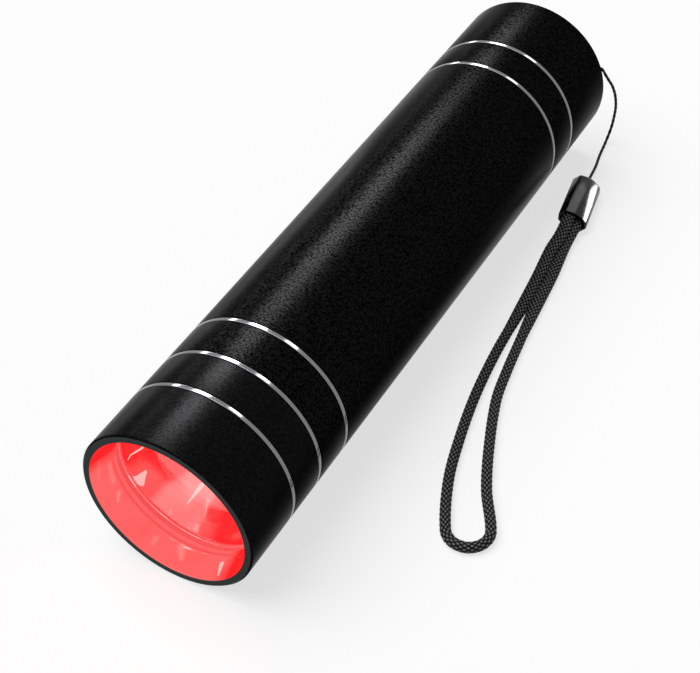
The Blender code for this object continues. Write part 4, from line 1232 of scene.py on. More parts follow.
class Finishes:
    """Every finish of the wand."""

    def __init__(self, wand: Wand) -> None:
        """Makes the finishes that follow the wand's frame."""
        self.black = BlackAnodised()
        self.bezel = LitBezel(wand=wand)
        self.bright = BrightCut(wand=wand)
        self.glass = LensGlass(wand=wand)
        self.bowl = LitBowl(wand=wand)
        self.led = LitSilicone(wand=wand)
        white, rubber, black = "white_plastic", "black_rubber", "black_plastic"
        self.white_plastic = Moulded(white, "white_plastic_moulded", (0.78, 0.78, 0.76), 0.42)
        # the centring ring gets painted red light from the LED as emission
        self.lit_plastic = Moulded(
            white, "white_plastic_lit", (0.80, 0.70, 0.68), 0.42, lit=(0.75, 0.02, 0.02)
        )
        self.rubber = Moulded(
            rubber, "black_rubber_matt", (0.010, 0.010, 0.011), 0.66, 0.14 * MM, 0.008 * MM
        )
        # the gasket gets painted red light from the LED as emission
        self.gasket = Moulded(
            rubber, "black_rubber_lit", (0.02, 0.01, 0.01), 0.6, lit=(0.86, 0.066, 0.070)
        )
        self.black_plastic = Moulded(black, "black_plastic_moulded", (0.018, 0.018, 0.019), 0.40)
        self.tongue = Moulded(black, "socket_tongue_plastic", (0.012, 0.012, 0.013), 0.35)
        self.red_wire = Moulded("red_wire", "red_insulation", (0.50, 0.02, 0.02), 0.40)
        self.black_wire = Moulded("black_wire", "black_insulation", (0.02, 0.02, 0.02), 0.40)
        self.brass = TurnedMetal("brass", "turned_brass", wand, (0.66, 0.47, 0.18), 0.28)
        self.nickel = TurnedMetal("nickel_steel", "bright_nickel", wand, (0.66, 0.66, 0.66), 0.20)
        self.can = TurnedMetal("cell_can", "bright_can", wand, (0.70, 0.70, 0.71), 0.26)
        self.spring = TurnedMetal("spring_steel", "drawn_wire", wand, (0.70, 0.66, 0.58), 0.24)
        self.gold = TurnedMetal("brass", "gold_contacts", wand, (0.90, 0.66, 0.28), 0.20)
        self.board = SolderMask("board_green", "green_board")
        self.led_board = SolderMask("board_white", "white_board", (0.80, 0.81, 0.80), (0.88, 0.88, 0.86))
        self.wrap = Shrink()
        self.ferrule = BlackNickel()
        self.strap = Woven("strap_braid", "black_braid")
        self.cord = Woven(
            "thin_cord",
            "black_twisted_thread",
            0.06 * MM,
            dark=(0.004, 0.004, 0.0045),
            glint=(0.045, 0.045, 0.047),
        )


# ---- sub-assemblies


@dataclass
class Shell:
    """The four black sleeves: bezel, head, long tube and tail cap."""

    wand: Wand
    finishes: Finishes
    groove_half: float = 0.55 * MM
    groove_floor: float = 0.8 * MM
    joint_gap: float = 0.3 * MM
    edge: float = 0.12 * MM
    mouth_wall: float = 1.64 * MM
    mouth_depth: float = 5.5 * MM
    mouth_taper: float = 0.96 * MM
    lip: float = 1.1 * MM
    lens_wall: float = 1.6 * MM
    outer_edge: float = 0.45 * MM
    tail_edge: float = 0.3 * MM
    neck_wall: float = 2.3 * MM
    socket_wall: float = 2.0 * MM
    cavity_wall: float = 4.1 * MM
    neck_bore_wall: float = 4.5 * MM
    ledge_wall: float = 6.0 * MM
    ledge: Pair = (25.67 * MM, 26.87 * MM)
    recess_wall: float = 5.3 * MM
    recess_depth: float = 1.8 * MM
    end_wall: float = 2.0 * MM
    button_hole: float = 6.6 * MM
    switch_cavity: float = 10.6 * MM
    switch_thread: float = 13.2 * MM
    tunnel_angle: float = math.radians(30)
    tunnel_inset: float = 2.9 * MM
    tunnel_bend: float = 2.0 * MM
    tunnel_radius: float = 0.85 * MM
    tunnel_sides: int = 24
    neck_fillet: float = 0.3 * MM
    mouth_edge: float = 0.2 * MM
    recess_flare: float = 0.4 * MM
    recess_fillet: float = 0.3 * MM
    hole_fillet: float = 0.15 * MM

    def ring(self, name: str) -> float:
        """The middle station of a bright ring."""
        first, last = self.wand.stations(name)
        return (first + last) / 2

    def groove(self, station: float) -> list[Corner]:
        """A ring's groove in a sleeve's skin."""
        r, e = self.wand.radius, self.edge
        floor = r - self.groove_floor
        front, back = station - self.groove_half, station + self.groove_half
        return [Corner(r, front, e), Corner(floor, front), Corner(floor, back), Corner(r, back, e)]

    def make_bezel(self, shape: Shaper) -> Piece:
        """Front sleeve with the open mouth."""
        r = self.wand.radius
        first, last = self.wand.stations("bezel")
        mouth = r - self.mouth_wall
        lip = mouth - self.mouth_taper
        pocket = r - self.lens_wall
        lip_back = self.mouth_depth + self.lip
        return shape.sleeve(
            "bezel_sleeve",
            [
                Corner(r - self.outer_edge, first, self.edge),
                Corner(r, first + self.outer_edge, self.edge),
                *self.groove(self.ring("front_trim_ring_1")),
                Corner(r, last, self.edge),
                Corner(pocket, last),
                Corner(pocket, lip_back),
                Corner(lip, lip_back, self.edge),
                Corner(lip, self.mouth_depth, self.edge),
                Corner(mouth, self.mouth_edge, self.edge),
                Corner(mouth + self.mouth_edge, first, self.edge),
            ],
        )

    def make_head(self, shape: Shaper, port: "ChargingPort") -> Piece:
        """Sleeve between the second and the third ring, cut for the charging socket and its flap."""
        r = self.wand.radius
        first, last = self.wand.stations("head_shell")
        ring_2, ring_3 = self.ring("front_trim_ring_2"), self.ring("front_trim_ring_3")
        fit = r - self.lens_wall - self.joint_gap
        floor = r - self.groove_floor
        neck = r - self.neck_wall
        ledge = r - self.ledge_wall
        head = shape.sleeve(
            "head_sleeve",
            [
                Corner(fit, first),
                Corner(fit, ring_2 - self.groove_half + self.joint_gap),
                Corner(floor, ring_2 - self.groove_half + self.joint_gap),
                Corner(floor, ring_2 + self.groove_half),
                Corner(r, ring_2 + self.groove_half, self.edge),
                Corner(r, ring_3 - self.groove_half, self.edge),
                Corner(floor, ring_3 - self.groove_half),
                Corner(floor, ring_3 + self.groove_half - self.joint_gap),
                Corner(neck, ring_3 + self.groove_half - self.joint_gap),
                Corner(neck, last, self.neck_fillet),
                Corner(r - self.cavity_wall, last),
                Corner(r - self.cavity_wall, self.ledge[1]),
                Corner(ledge, self.ledge[1]),
                Corner(ledge, self.ledge[0]),
                Corner(r - self.neck_bore_wall, self.ledge[0]),
                Corner(r - self.neck_bore_wall, first),
            ],
        )
        for cutter in port.cutters(shape):
            Shaper.combine(head, cutter, "DIFFERENCE")
        return head

    def make_tube(self, shape: Shaper) -> Piece:
        """Long barrel round the battery."""
        r = self.wand.radius
        first, last = self.wand.stations("body_tube")
        ring_4 = self.ring("rear_trim_ring_1")
        head_end = self.wand.stations("head_shell")[1]
        shoulder = ring_4 + self.groove_half - self.joint_gap
        bore = r - self.cavity_wall
        return shape.sleeve(
            "tube_sleeve",
            [
                Corner(r, first, self.edge),
                Corner(r, ring_4 - self.groove_half, self.edge),
                Corner(r - self.groove_floor, ring_4 - self.groove_half),
                Corner(r - self.groove_floor, shoulder),
                Corner(r - self.neck_wall, shoulder),
                Corner(r - self.neck_wall, last, self.neck_fillet),
                Corner(bore, last),
                Corner(bore, head_end + self.joint_gap),
                Corner(r - self.socket_wall, head_end + self.joint_gap),
                Corner(r - self.socket_wall, first),
            ],
        )

    def make_cap(self, shape: Shaper) -> Piece:
        """Rear sleeve with the button's recess and the tunnel for the thin cord."""
        r, end = self.wand.radius, self.wand.length
        first = self.wand.stations("tail_cap")[0]
        floor = end - self.recess_depth
        wall = floor - self.end_wall
        board = self.wand.stations("switch_board")[1] + self.joint_gap
        ring_front = self.wand.stations("switch_retaining_ring")[0]
        cap = shape.sleeve(
            "tail_sleeve",
            [
                Corner(r, first, self.edge),
                *self.groove(self.ring("rear_trim_ring_2")),
                Corner(r, end - self.tail_edge, self.edge),
                Corner(r - self.tail_edge, end, self.edge),
                Corner(r - self.recess_wall + self.recess_flare, end, self.edge),
                Corner(r - self.recess_wall, floor, self.recess_fillet),
                Corner(self.button_hole, floor, self.hole_fillet),
                Corner(self.button_hole, wall),
                Corner(self.switch_cavity, wall),
                Corner(self.switch_cavity, board),
                Corner(self.switch_thread, board),
                Corner(self.switch_thread, ring_front),
                Corner(r - self.socket_wall, ring_front),
                Corner(r - self.socket_wall, first),
            ],
        )
        return Shaper.combine(cap, self.tunnel(shape), "DIFFERENCE")

    def tunnel(self, shape: Shaper) -> Piece:
        """The bent hole that the thin cord passes through in the tail's rim."""
        centre = self.wand.at(self.wand.radius - self.tunnel_inset, self.tunnel_angle, self.wand.length)
        outward = Vector((math.cos(self.tunnel_angle), 0, math.sin(self.tunnel_angle)))
        turn = outward.to_track_quat("Z", "Y").to_matrix()

        def bent(radius: float, angle: float, station: float) -> Vector:
            """Puts a point of the torus about the tunnel's own centre."""
            return centre + turn @ Vector((radius * math.cos(angle), radius * math.sin(angle), station))

        section = circle(self.tunnel_bend, 0.0, self.tunnel_radius, self.tunnel_sides)
        return shape.turned("tunnel_cutter", section, Fineness.SMALL, place=bent)

    def build(self, shape: Shaper, port: "ChargingPort") -> list[Piece]:
        """Makes and dresses the four sleeves, and hands them back."""
        bezel, head = self.make_bezel(shape), self.make_head(shape, port)
        tube, cap = self.make_tube(shape), self.make_cap(shape)
        show(bezel, self.finishes.bezel, "bezel")
        for sleeve, node in ((head, "head_shell"), (tube, "body_tube"), (cap, "tail_cap")):
            show(sleeve, self.finishes.black, node)
        return [bezel, head, tube, cap]


@dataclass
class BrightRings:
    """The five polished split rings."""

    wand: Wand
    finishes: Finishes
    depth: float = 0.5 * MM
    edge: float = 0.1 * MM
    slit: float = 0.4 * MM
    slit_angle: float = math.radians(225)
    names: tuple[str, ...] = (
        "front_trim_ring_1",
        "front_trim_ring_2",
        "front_trim_ring_3",
        "rear_trim_ring_1",
        "rear_trim_ring_2",
    )

    def build(self, shape: Shaper) -> list[Piece]:
        """Makes each ring with rounded edges and its slit on the hidden side, and hands them back."""
        rings = []
        r = self.wand.radius
        half_slit = self.slit / r / 2
        start = self.slit_angle + half_slit
        for name in self.names:
            first, last = self.wand.stations(name)
            corners = [
                Corner(r - self.depth, first),
                Corner(r, first, self.edge),
                Corner(r, last, self.edge),
                Corner(r - self.depth, last),
            ]
            span = (start, start + TURN - 2 * half_slit)
            ring = shape.turned(f"{name}_polished", rounded(corners), span=span)
            show(ring, self.finishes.bright, name)
            rings.append(ring)
        return rings


@dataclass
class Optics:
    """Lens, its gasket, the reflector and the LED with what centres it."""

    wand: Wand
    finishes: Finishes
    fit: float = 15.6 * MM
    lens_edge: float = 0.3 * MM
    gasket_radius: float = 0.35 * MM
    rim: float = 1.0 * MM
    hole: float = 3.7 * MM
    wall: float = 1.1 * MM
    skirt_back: float = 14.75 * MM
    bowl_steps: int = 40
    led_hole: float = 2.9 * MM
    led_radius: float = 6.0 * MM
    led_edge: float = 0.2 * MM
    base_edge: float = 0.15 * MM
    dome: float = 1.3 * MM
    dome_sunk: float = 0.2 * MM
    dome_steps: int = 16

    def bowl(self, station: float, first: float, last: float) -> float:
        """Radius of the bowl at a station, between its mouth and its foot."""
        mouth = self.fit - self.rim
        return math.sqrt(self.hole**2 + (mouth**2 - self.hole**2) * (last - station) / (last - first))

    def make_lens(self, shape: Shaper) -> Piece:
        """Flat window with ground edges."""
        first, last = self.wand.stations("front_lens")
        corners = [
            Corner(0.0, first),
            Corner(self.fit, first, self.lens_edge),
            Corner(self.fit, last, self.lens_edge),
            Corner(0.0, last),
        ]
        return shape.turned("lens_window", rounded(corners, closed=False))

    def make_gasket(self, shape: Shaper) -> Piece:
        """Round seal in front of the lens."""
        first, last = self.wand.stations("lens_gasket")
        outline = circle(self.fit - self.gasket_radius, (first + last) / 2, (last - first) / 2)
        return shape.turned("lens_seal", outline, Fineness.INNER)

    def make_bowl(self, shape: Shaper) -> Piece:
        """Parabolic bowl with its rim, skirt and foot."""
        first, last = self.wand.stations("reflector")
        steps = self.bowl_steps
        inner = [first + (last - first) * i / steps for i in range(steps + 1)]
        outer = [self.skirt_back + (last - self.skirt_back) * i / steps for i in range(steps + 1)]
        outline = [(self.bowl(t, first, last), t) for t in reversed(inner)]
        outline += [(self.fit, first), (self.fit, self.skirt_back)]
        outline += [(self.bowl(t, first, last) + self.wall, t) for t in outer]
        return shape.turned("reflector_bowl", outline, Fineness.INNER)

    def make_led(self, shape: Shaper) -> Piece:
        """Square base with the domed silicone over the chip."""
        low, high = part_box("led_emitter")
        side = high.x - low.x
        base_front = low.y + self.dome
        centre = ((low.x + high.x) / 2, (base_front + high.y) / 2, self.wand.radius)
        base = Shaper.block("led_lamp", (side, high.y - base_front, side), centre)
        Shaper.soften(base, self.base_edge)
        station = base_front - self.wand.front
        sunk = station + self.dome_sunk
        dome = [(0.0, sunk), (self.dome, sunk)]
        for i in range(self.dome_steps + 1):
            angle = TURN / 4 * i / self.dome_steps
            dome.append((self.dome * math.cos(angle), station - self.dome * math.sin(angle)))
        dome[-1] = (0.0, station - self.dome)
        return Shaper.combine(base, shape.turned("led_dome", dome, Fineness.SMALL), "UNION")

    def make_centring(self, shape: Shaper) -> Piece:
        """Ring that centres the LED in the bowl's foot."""
        first, last = self.wand.stations("led_centering_ring")
        corners = [
            Corner(self.led_hole, first, self.led_edge),
            Corner(self.led_radius, first, self.led_edge),
            Corner(self.led_radius, last),
            Corner(self.led_hole, last),
        ]
        return shape.sleeve("led_centring", corners, Fineness.SMALL)

    def build(self, shape: Shaper) -> None:
        """Makes and dresses what shows through the mouth."""
        looks = self.finishes
        for make, finish, node in (
            (self.make_lens, looks.glass, "front_lens"),
            (self.make_gasket, looks.gasket, "lens_gasket"),
            (self.make_bowl, looks.bowl, "reflector"),
            (self.make_led, looks.led, "led_emitter"),
            (self.make_centring, looks.lit_plastic, "led_centering_ring"),
        ):
            show(make(shape), finish, node)


@dataclass
class ChargingPort:
    """Charging socket in the hidden side, its flap, and the flap's pegged anchor."""

    wand: Wand
    finishes: Finishes
    gap: float = 0.3 * MM
    thickness: float = 1.0 * MM
    parting: float = 0.22 * MM
    land: float = 1.6 * MM
    lap: float = 2.2 * MM
    anchor: float = 2.1 * MM
    width: float = 6.8 * MM
    plug_depth: float = 1.0 * MM
    plug_clearance: float = 0.4 * MM
    peg_radius: float = 0.9 * MM
    peg_length: float = 1.5 * MM
    shell: float = 0.3 * MM
    tongue: float = 0.7 * MM
    tongue_width: float = 6.7 * MM
    tongue_inset: float = 0.8 * MM
    back: float = 1.0 * MM
    contacts: int = 12
    contact_width: float = 0.25 * MM
    contact_pitch: float = 0.5 * MM
    contact_share: float = 0.62
    contact_thickness: float = 0.04 * MM
    overrun: float = 1.0 * MM
    soft: float = 0.22 * MM
    tongue_edge: float = 0.12 * MM
    plug_chamfer: float = 0.25 * MM
    round_steps: int = 14

    def __post_init__(self) -> None:
        """Reads the socket's size and place from its node."""
        low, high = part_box("usb_c_socket")
        self.mouth_x = low.x
        self.socket_length = high.x - low.x
        self.socket_height = high.y - low.y
        self.socket_width = high.z - low.z
        self.station = (low.y + high.y) / 2 - self.wand.front
        self.hinge_reach = self.socket_width / 2 + self.land
        self.free_reach = self.socket_width / 2 + self.lap

    def skin(self, reach: float) -> float:
        """The angle of a point on the skin, a distance below the socket's middle."""
        return math.pi + reach / self.wand.radius

    def stadium(self, less: float, x: float) -> list[Vector]:
        """A stadium-shaped loop, square to X, smaller than the socket by a width, at a place along X."""
        width, height = self.socket_width - less, self.socket_height - less
        radius = height / 2
        reach = width / 2 - radius
        centre = Vector((x, self.wand.front + self.station, self.wand.radius))
        loop = []
        for side in (1, -1):
            for i in range(self.round_steps + 1):
                a = math.pi * i / self.round_steps
                loop.append(
                    centre + Vector((0, side * radius * math.cos(a), side * (reach + radius * math.sin(a))))
                )
        return loop

    def slab(
        self,
        shape: Shaper,
        name: str,
        radii: Pair,
        half: float,
        reaches: Pair,
    ) -> Piece:
        """A slab that follows the skin.

        Args:
            shape: the mesh tools.
            name: the piece's name.
            radii: its inner and outer radius.
            half: half its width along the wand.
            reaches: where it starts and ends, as distances below the socket's middle.

        Returns:
            The new piece.
        """
        (inner, outer), (start, end) = radii, reaches
        first, last = self.station - half, self.station + half
        outline = [(inner, first), (outer, first), (outer, last), (inner, last)]
        return shape.turned(name, outline, span=(self.skin(start), self.skin(end)))

    def peg(self, name: str, radius: float, low: float, high: float) -> Piece:
        """A rod along the anchor's peg.

        Args:
            name: the piece's name.
            radius: its radius.
            low: how far from the wand's axis it starts.
            high: how far from the wand's axis it ends.

        Returns:
            The new piece.
        """
        angle = self.skin(-self.hinge_reach - self.anchor / 2)
        foot, top = (self.wand.at(reach, angle, self.station) for reach in (low, high))
        return Shaper.rod(name, foot, top, radius)

    def cutters(self, shape: Shaper) -> list[Piece]:
        """The flap's pocket, the socket's window and the peg's hole, cut out of the head."""
        r = self.wand.radius
        floor = r - self.thickness - self.gap
        ends = (-r - self.overrun, self.mouth_x + self.socket_length)
        window = Shaper.loft("window_cutter", [self.stadium(-2 * self.gap, x) for x in ends])
        reaches = (-self.hinge_reach - self.anchor - self.gap, self.free_reach + self.gap)
        half = self.width / 2 + self.gap
        pocket = self.slab(shape, "pocket_cutter", (floor, r + self.overrun), half, reaches)
        foot = floor - self.peg_length - self.gap
        hole = self.peg("peg_cutter", self.peg_radius + self.gap, foot, floor + self.overrun)
        return [window, pocket, hole]

    def make_flap(self, shape: Shaper) -> Piece:
        """Rubber flap with rounded edges and the plug that enters the window."""
        r = self.wand.radius
        reaches = (-self.hinge_reach + self.parting, self.free_reach)
        flap = self.slab(shape, "socket_flap", (r - self.thickness, r), self.width / 2, reaches)
        Shaper.soften(flap, self.soft)
        less, chamfer = 2 * self.plug_clearance, self.plug_chamfer
        end = -(r - self.thickness - self.plug_depth)
        rows = (
            (less, end - self.plug_depth - self.thickness / 2),
            (less, end - chamfer),
            (less + chamfer, end - chamfer / 4),
            (less + 2 * chamfer, end),
        )
        plug = Shaper.loft("flap_plug", [self.stadium(*row) for row in rows])
        return Shaper.combine(flap, plug, "UNION")

    def make_anchor(self, shape: Shaper) -> Piece:
        """The flap's fixed end beyond the living hinge, with its peg."""
        r = self.wand.radius
        reaches = (-self.hinge_reach - self.anchor, -self.hinge_reach - self.parting)
        anchor = self.slab(shape, "flap_anchor", (r - self.thickness, r), self.width / 2, reaches)
        Shaper.soften(anchor, self.soft)
        floor = r - self.thickness - self.gap
        peg = self.peg("anchor_peg", self.peg_radius, floor - self.peg_length, r - self.thickness / 2)
        return Shaper.combine(anchor, peg, "UNION")

    def make_socket(self) -> Piece:
        """Drawn shell with a rolled mouth, open towards the flap."""
        front, back = self.mouth_x, self.mouth_x + self.socket_length
        inside, roll = 2 * self.shell, self.shell / 2
        rows = (
            (inside, back - self.back),
            (inside, front + roll),
            (inside - roll, front + roll / 4),
            (inside - self.shell, front),
            (roll, front + roll / 4),
            (0.0, front + roll),
            (0.0, back),
        )
        return Shaper.loft("socket_shell", [self.stadium(*row) for row in rows])

    def build(self, shape: Shaper) -> None:
        """Makes and dresses the port's pieces."""
        show(self.make_flap(shape), self.finishes.rubber, "port_cover", body=Body.FLAP)
        show(self.make_anchor(shape), self.finishes.rubber, "port_cover_anchor")
        show(self.make_socket(), self.finishes.nickel, "usb_c_socket")
        middle = self.wand.front + self.station
        length = self.socket_length - self.tongue_inset - self.back
        centre_x = self.mouth_x + self.tongue_inset + length / 2
        centre = (centre_x, middle, self.wand.radius)
        tongue = Shaper.block("socket_tongue", (length, self.tongue, self.tongue_width), centre)
        show(Shaper.soften(tongue, self.tongue_edge), self.finishes.tongue)
        thin = self.contact_thickness
        for face, side in ((1, "rear"), (-1, "front")):
            strips = None
            for i in range(self.contacts):
                across = (i - (self.contacts - 1) / 2) * self.contact_pitch
                strip = Shaper.block(
                    f"socket_contacts_{side}" if strips is None else "contact",
                    (length * self.contact_share, thin, self.contact_width),
                    (centre_x, middle + face * (self.tongue + thin) / 2, self.wand.radius + across),
                )
                strips = strip if strips is None else self.merge(strips, strip)
            show(strips, self.finishes.gold)

    @staticmethod
    def merge(one: Piece, other: Piece) -> Piece:
        """Puts another piece's mesh into the first."""
        bm = bmesh.new()
        bm.from_mesh(one.data)
        bm.from_mesh(other.data)
        bm.to_mesh(one.data)
        bm.free()
        bpy.data.objects.remove(other)
        return one


@dataclass
class TailSwitch:
    """The button in the tail with its seal."""

    wand: Wand
    finishes: Finishes
    radius: float = 6.2 * MM
    flange: float = 8.6 * MM
    flange_thickness: float = 1.6 * MM
    crown: float = 0.8 * MM
    groove_depth: float = 0.7 * MM
    groove_width: float = 1.1 * MM
    dish: float = 3.4 * MM
    dish_depth: float = 0.25 * MM
    hole: float = 6.6 * MM
    soft: float = 0.15 * MM
    rim_drop: float = 0.2 * MM
    rim_fillet: float = 0.5 * MM
    dish_rise: float = 0.4 * MM
    dish_fillets: Pair = (0.9 * MM, 0.6 * MM)

    def build(self, shape: Shaper) -> None:
        """Makes and dresses the button and its seal."""
        first, last = self.wand.stations("tail_button")
        seal_first, seal_last = self.wand.stations("button_o_ring")
        middle = (seal_first + seal_last) / 2
        back = first + self.flange_thickness
        rim = last - self.crown
        low, high = middle - self.groove_width / 2, middle + self.groove_width / 2
        floor = self.radius - self.groove_depth
        soft = self.soft
        outline = rounded(
            [
                Corner(0.0, first),
                Corner(self.flange, first, soft),
                Corner(self.flange, back, soft),
                Corner(self.radius, back),
                Corner(self.radius, low),
                Corner(floor, low),
                Corner(floor, high),
                Corner(self.radius, high),
                Corner(self.radius, rim + self.rim_drop, self.rim_fillet),
                Corner(self.dish + self.dish_rise, last, self.dish_fillets[0]),
                Corner(self.dish * 0.6, last - self.dish_depth, self.dish_fillets[1]),
                Corner(0.0, last - self.dish_depth),
            ],
            closed=False,
            steps=6,
        )
        button = shape.turned("tail_push_button", outline, Fineness.INNER)
        show(button, self.finishes.rubber, "tail_button", body=Body.BUTTON)
        section = circle((floor + self.hole) / 2, middle, (seal_last - seal_first) / 2)
        seal = shape.turned("button_seal", section, Fineness.INNER)
        show(seal, self.finishes.rubber, "button_o_ring", body=Body.BUTTON)


@dataclass
class Lanyard:
    """Thin cord with its stopper knot, the clip, and the woven loop."""

    wand: Wand
    finishes: Finishes
    cord_diameter: float = 0.68 * MM
    strap_diameter: float = 2.2 * MM
    strap_pressed: float = 2.8 * MM
    strap_apart: Pair = (33 * MM, 41 * MM)
    yarns: int = 8
    lay: float = 1.4
    relief: float = 0.15 * MM
    dive: float = 0.75
    yarn_round: float = 0.6
    strap_step: float = 0.116 * MM
    sides_of_yarn: int = 7
    cord_step: float = 0.12 * MM
    cord_sides: int = 14
    cord_relief: float = 0.09 * MM
    twist_lay: float = 1.5 * MM
    twist_round: float = 0.7
    path_steps: Pair = (1.0 * MM, 2.0 * MM)
    ferrule_length: float = 13.7 * MM
    ferrule_width: float = 6.2 * MM
    ferrule_height: float = 5.0 * MM
    ferrule_chamfer: float = 1.1 * MM
    ferrule_wall: float = 0.4 * MM
    ferrule_fillet: float = 0.22 * MM
    face_radius: float = 5.215 * MM
    face_middle: float = 0.916 * MM
    face_end: float = math.radians(38)
    face_steps: int = 16
    pocket_depth: float = 6.0 * MM
    nose_length: float = 0.9 * MM
    nose_share: float = 0.78
    nose_shrink: float = 0.03
    ferrule_soft: float = 0.12 * MM
    clip_sharp: float = 24.0
    hole_radius: float = 0.65 * MM
    hole_depth: float = 1.6 * MM
    heading: float = math.radians(9.5)
    roll: float = math.radians(45)
    nose: Pair = (0.0215, 0.0597)
    knot_radius: float = 1.0 * MM
    knot_tube: float = 0.27 * MM
    knot_width: float = 0.62
    knot_steps: int = 96
    gap: float = 0.3 * MM
    cord_route: tuple[Point, ...] = (
        (0.01164, 0.07400, 0.02653), (0.01194, 0.07259, 0.02603), (0.01264, 0.07200, 0.02480),
        (0.01335, 0.07259, 0.02358), (0.01364, 0.07400, 0.02307), (0.01380, 0.07505, 0.02290),
        (0.01460, 0.07585, 0.02250), (0.01590, 0.07608, 0.02190), (0.01670, 0.07590, 0.02110),
        (0.01730, 0.07620, 0.02000), (0.01820, 0.07765, 0.01720), (0.01875, 0.07885, 0.01400),
        (0.01880, 0.08005, 0.01050), (0.01855, 0.08085, 0.00750), (0.01820, 0.08095, 0.00360),
        (0.01805, 0.07905, 0.00090), (0.01870, 0.07395, 0.00045), (0.01992, 0.06841, 0.00135),
        (0.02109, 0.06187, 0.00300), (0.02140, 0.06029, 0.00315), (0.02167, 0.05871, 0.00318),
    )
    strap_route: tuple[Point, ...] = (
        (0.02210, 0.05098, 0.00403), (0.02292, 0.04605, 0.00398), (0.02351, 0.04032, 0.00345),
        (0.02343, 0.03597, 0.00275), (0.02420, 0.02792, 0.00170), (0.02500, 0.01869, 0.00116),
        (0.02528, 0.01491, 0.00113), (0.02620, 0.00283, 0.00113), (0.02781, -0.00927, 0.00113),
        (0.03030, -0.02110, 0.00113), (0.03313, -0.03105, 0.00113), (0.03793, -0.04161, 0.00113),
        (0.04028, -0.04344, 0.00113), (0.04325, -0.04323, 0.00113), (0.04531, -0.04109, 0.00113),
        (0.04542, -0.03812, 0.00113), (0.04037, -0.02957, 0.00113), (0.03617, -0.02003, 0.00113),
        (0.03192, -0.00811, 0.00113), (0.03037, -0.00036, 0.00113), (0.02885, 0.00958, 0.00113),
        (0.02807, 0.01527, 0.00113), (0.02760, 0.01886, 0.00113), (0.02643, 0.02985, 0.00116),
        (0.02508, 0.03935, 0.00155), (0.02477, 0.04378, 0.00205), (0.02460, 0.04633, 0.00233),
        (0.02377, 0.05126, 0.00233),
    )

    @staticmethod
    def mark_crowns(made: Piece, heights: Sequence[float]) -> None:
        """Stores how high each point stands on its yarn, for the finish."""
        attribute = made.data.attributes.new("crown", "FLOAT", "POINT")
        attribute.data.foreach_set("value", heights)

    def woven(
        self,
        name: str,
        route: Route,
        sides: int,
        skin: Callable[[float, float], float],
        height: Callable[[float, float], float],
        relief: float,
    ) -> Piece:
        """A tube whose skin rises and falls with its yarns.

        Args:
            name: the piece's name.
            route: its centreline.
            sides: points round it.
            skin: gives its outer radius from an angle and a distance along it.
            height: gives the yarns' height there, from 0 to 1.
            relief: depth between the yarns.

        Returns:
            The new piece, with the heights stored on its points.
        """
        heights: list[float] = []

        def reach(angle: float, along: float) -> float:
            """Radius at an angle and a distance along the tube."""
            rise = height(angle, along)
            heights.append(rise)
            return skin(angle, along) - relief * (1 - rise)

        made = route.sweep(name, sides, reach, level=skin == self.strap_skin)
        self.mark_crowns(made, heights)
        return made

    def cord_skin(self, angle: float, along: float) -> float:
        """The thin cord's outer radius."""
        return self.cord_diameter / 2

    def strap_skin(self, angle: float, along: float) -> float:
        """The strap's outer radius; it is pressed wider where its two runs lie side by side."""
        end = min(along, self.strap_length - along)
        share = min(1.0, max(0.0, (end - self.strap_apart[0]) / (self.strap_apart[1] - self.strap_apart[0])))
        high = self.strap_diameter / 2
        wide = self.strap_pressed / 2 * (1 - share) + high * share
        return wide * high / math.hypot(high * math.cos(angle), wide * math.sin(angle))

    def braid(self, angle: float, along: float) -> float:
        """Height of the braid's yarns, from 0 between them to 1 on their crowns."""
        turn = angle / TURN * self.yarns
        pitch = math.pi * self.strap_diameter / self.yarns
        run = along / (pitch * self.lay)
        one, other = turn + run, turn - run
        over = (math.floor(one) + math.floor(other)) % 2 == 0
        across, lengthwise = (one, other) if over else (other, one)
        profile = 1 - (2 * (across % 1.0) - 1) ** 2
        swell = 1 - self.dive * (2 * (lengthwise % 1.0) - 1) ** 2
        return max(0.0, profile) ** self.yarn_round * swell

    def twist(self, angle: float, along: float) -> float:
        """Height of a two-ply twist."""
        return abs(math.cos(angle - TURN * along / self.twist_lay / 2)) ** self.twist_round

    def make_cord(self) -> Piece:
        """Thin twisted cord from the knot, through the tail's rim, into the clip."""
        route = Route(self.cord_route, self.cord_step)
        made = self.woven(
            "thin_cord", route, self.cord_sides, self.cord_skin, self.twist, self.cord_relief
        )
        show(made, self.finishes.cord, "lanyard_cord")
        self.cord_path = [tuple(p) for p in Route(self.cord_route, self.path_steps[0]).points]
        self.cord_length = route.length
        return made

    def make_strap(self) -> Piece:
        """Woven loop from the clip, round on the floor, back into the clip."""
        route = Route(self.strap_route, self.strap_step)
        self.strap_length = route.length
        sides = self.sides_of_yarn * self.yarns
        made = self.woven("woven_strap", route, sides, self.strap_skin, self.braid, self.relief)
        show(made, self.finishes.strap, "wrist_strap")
        self.strap_path = [tuple(p) for p in Route(self.strap_route, self.path_steps[1]).points]
        return made

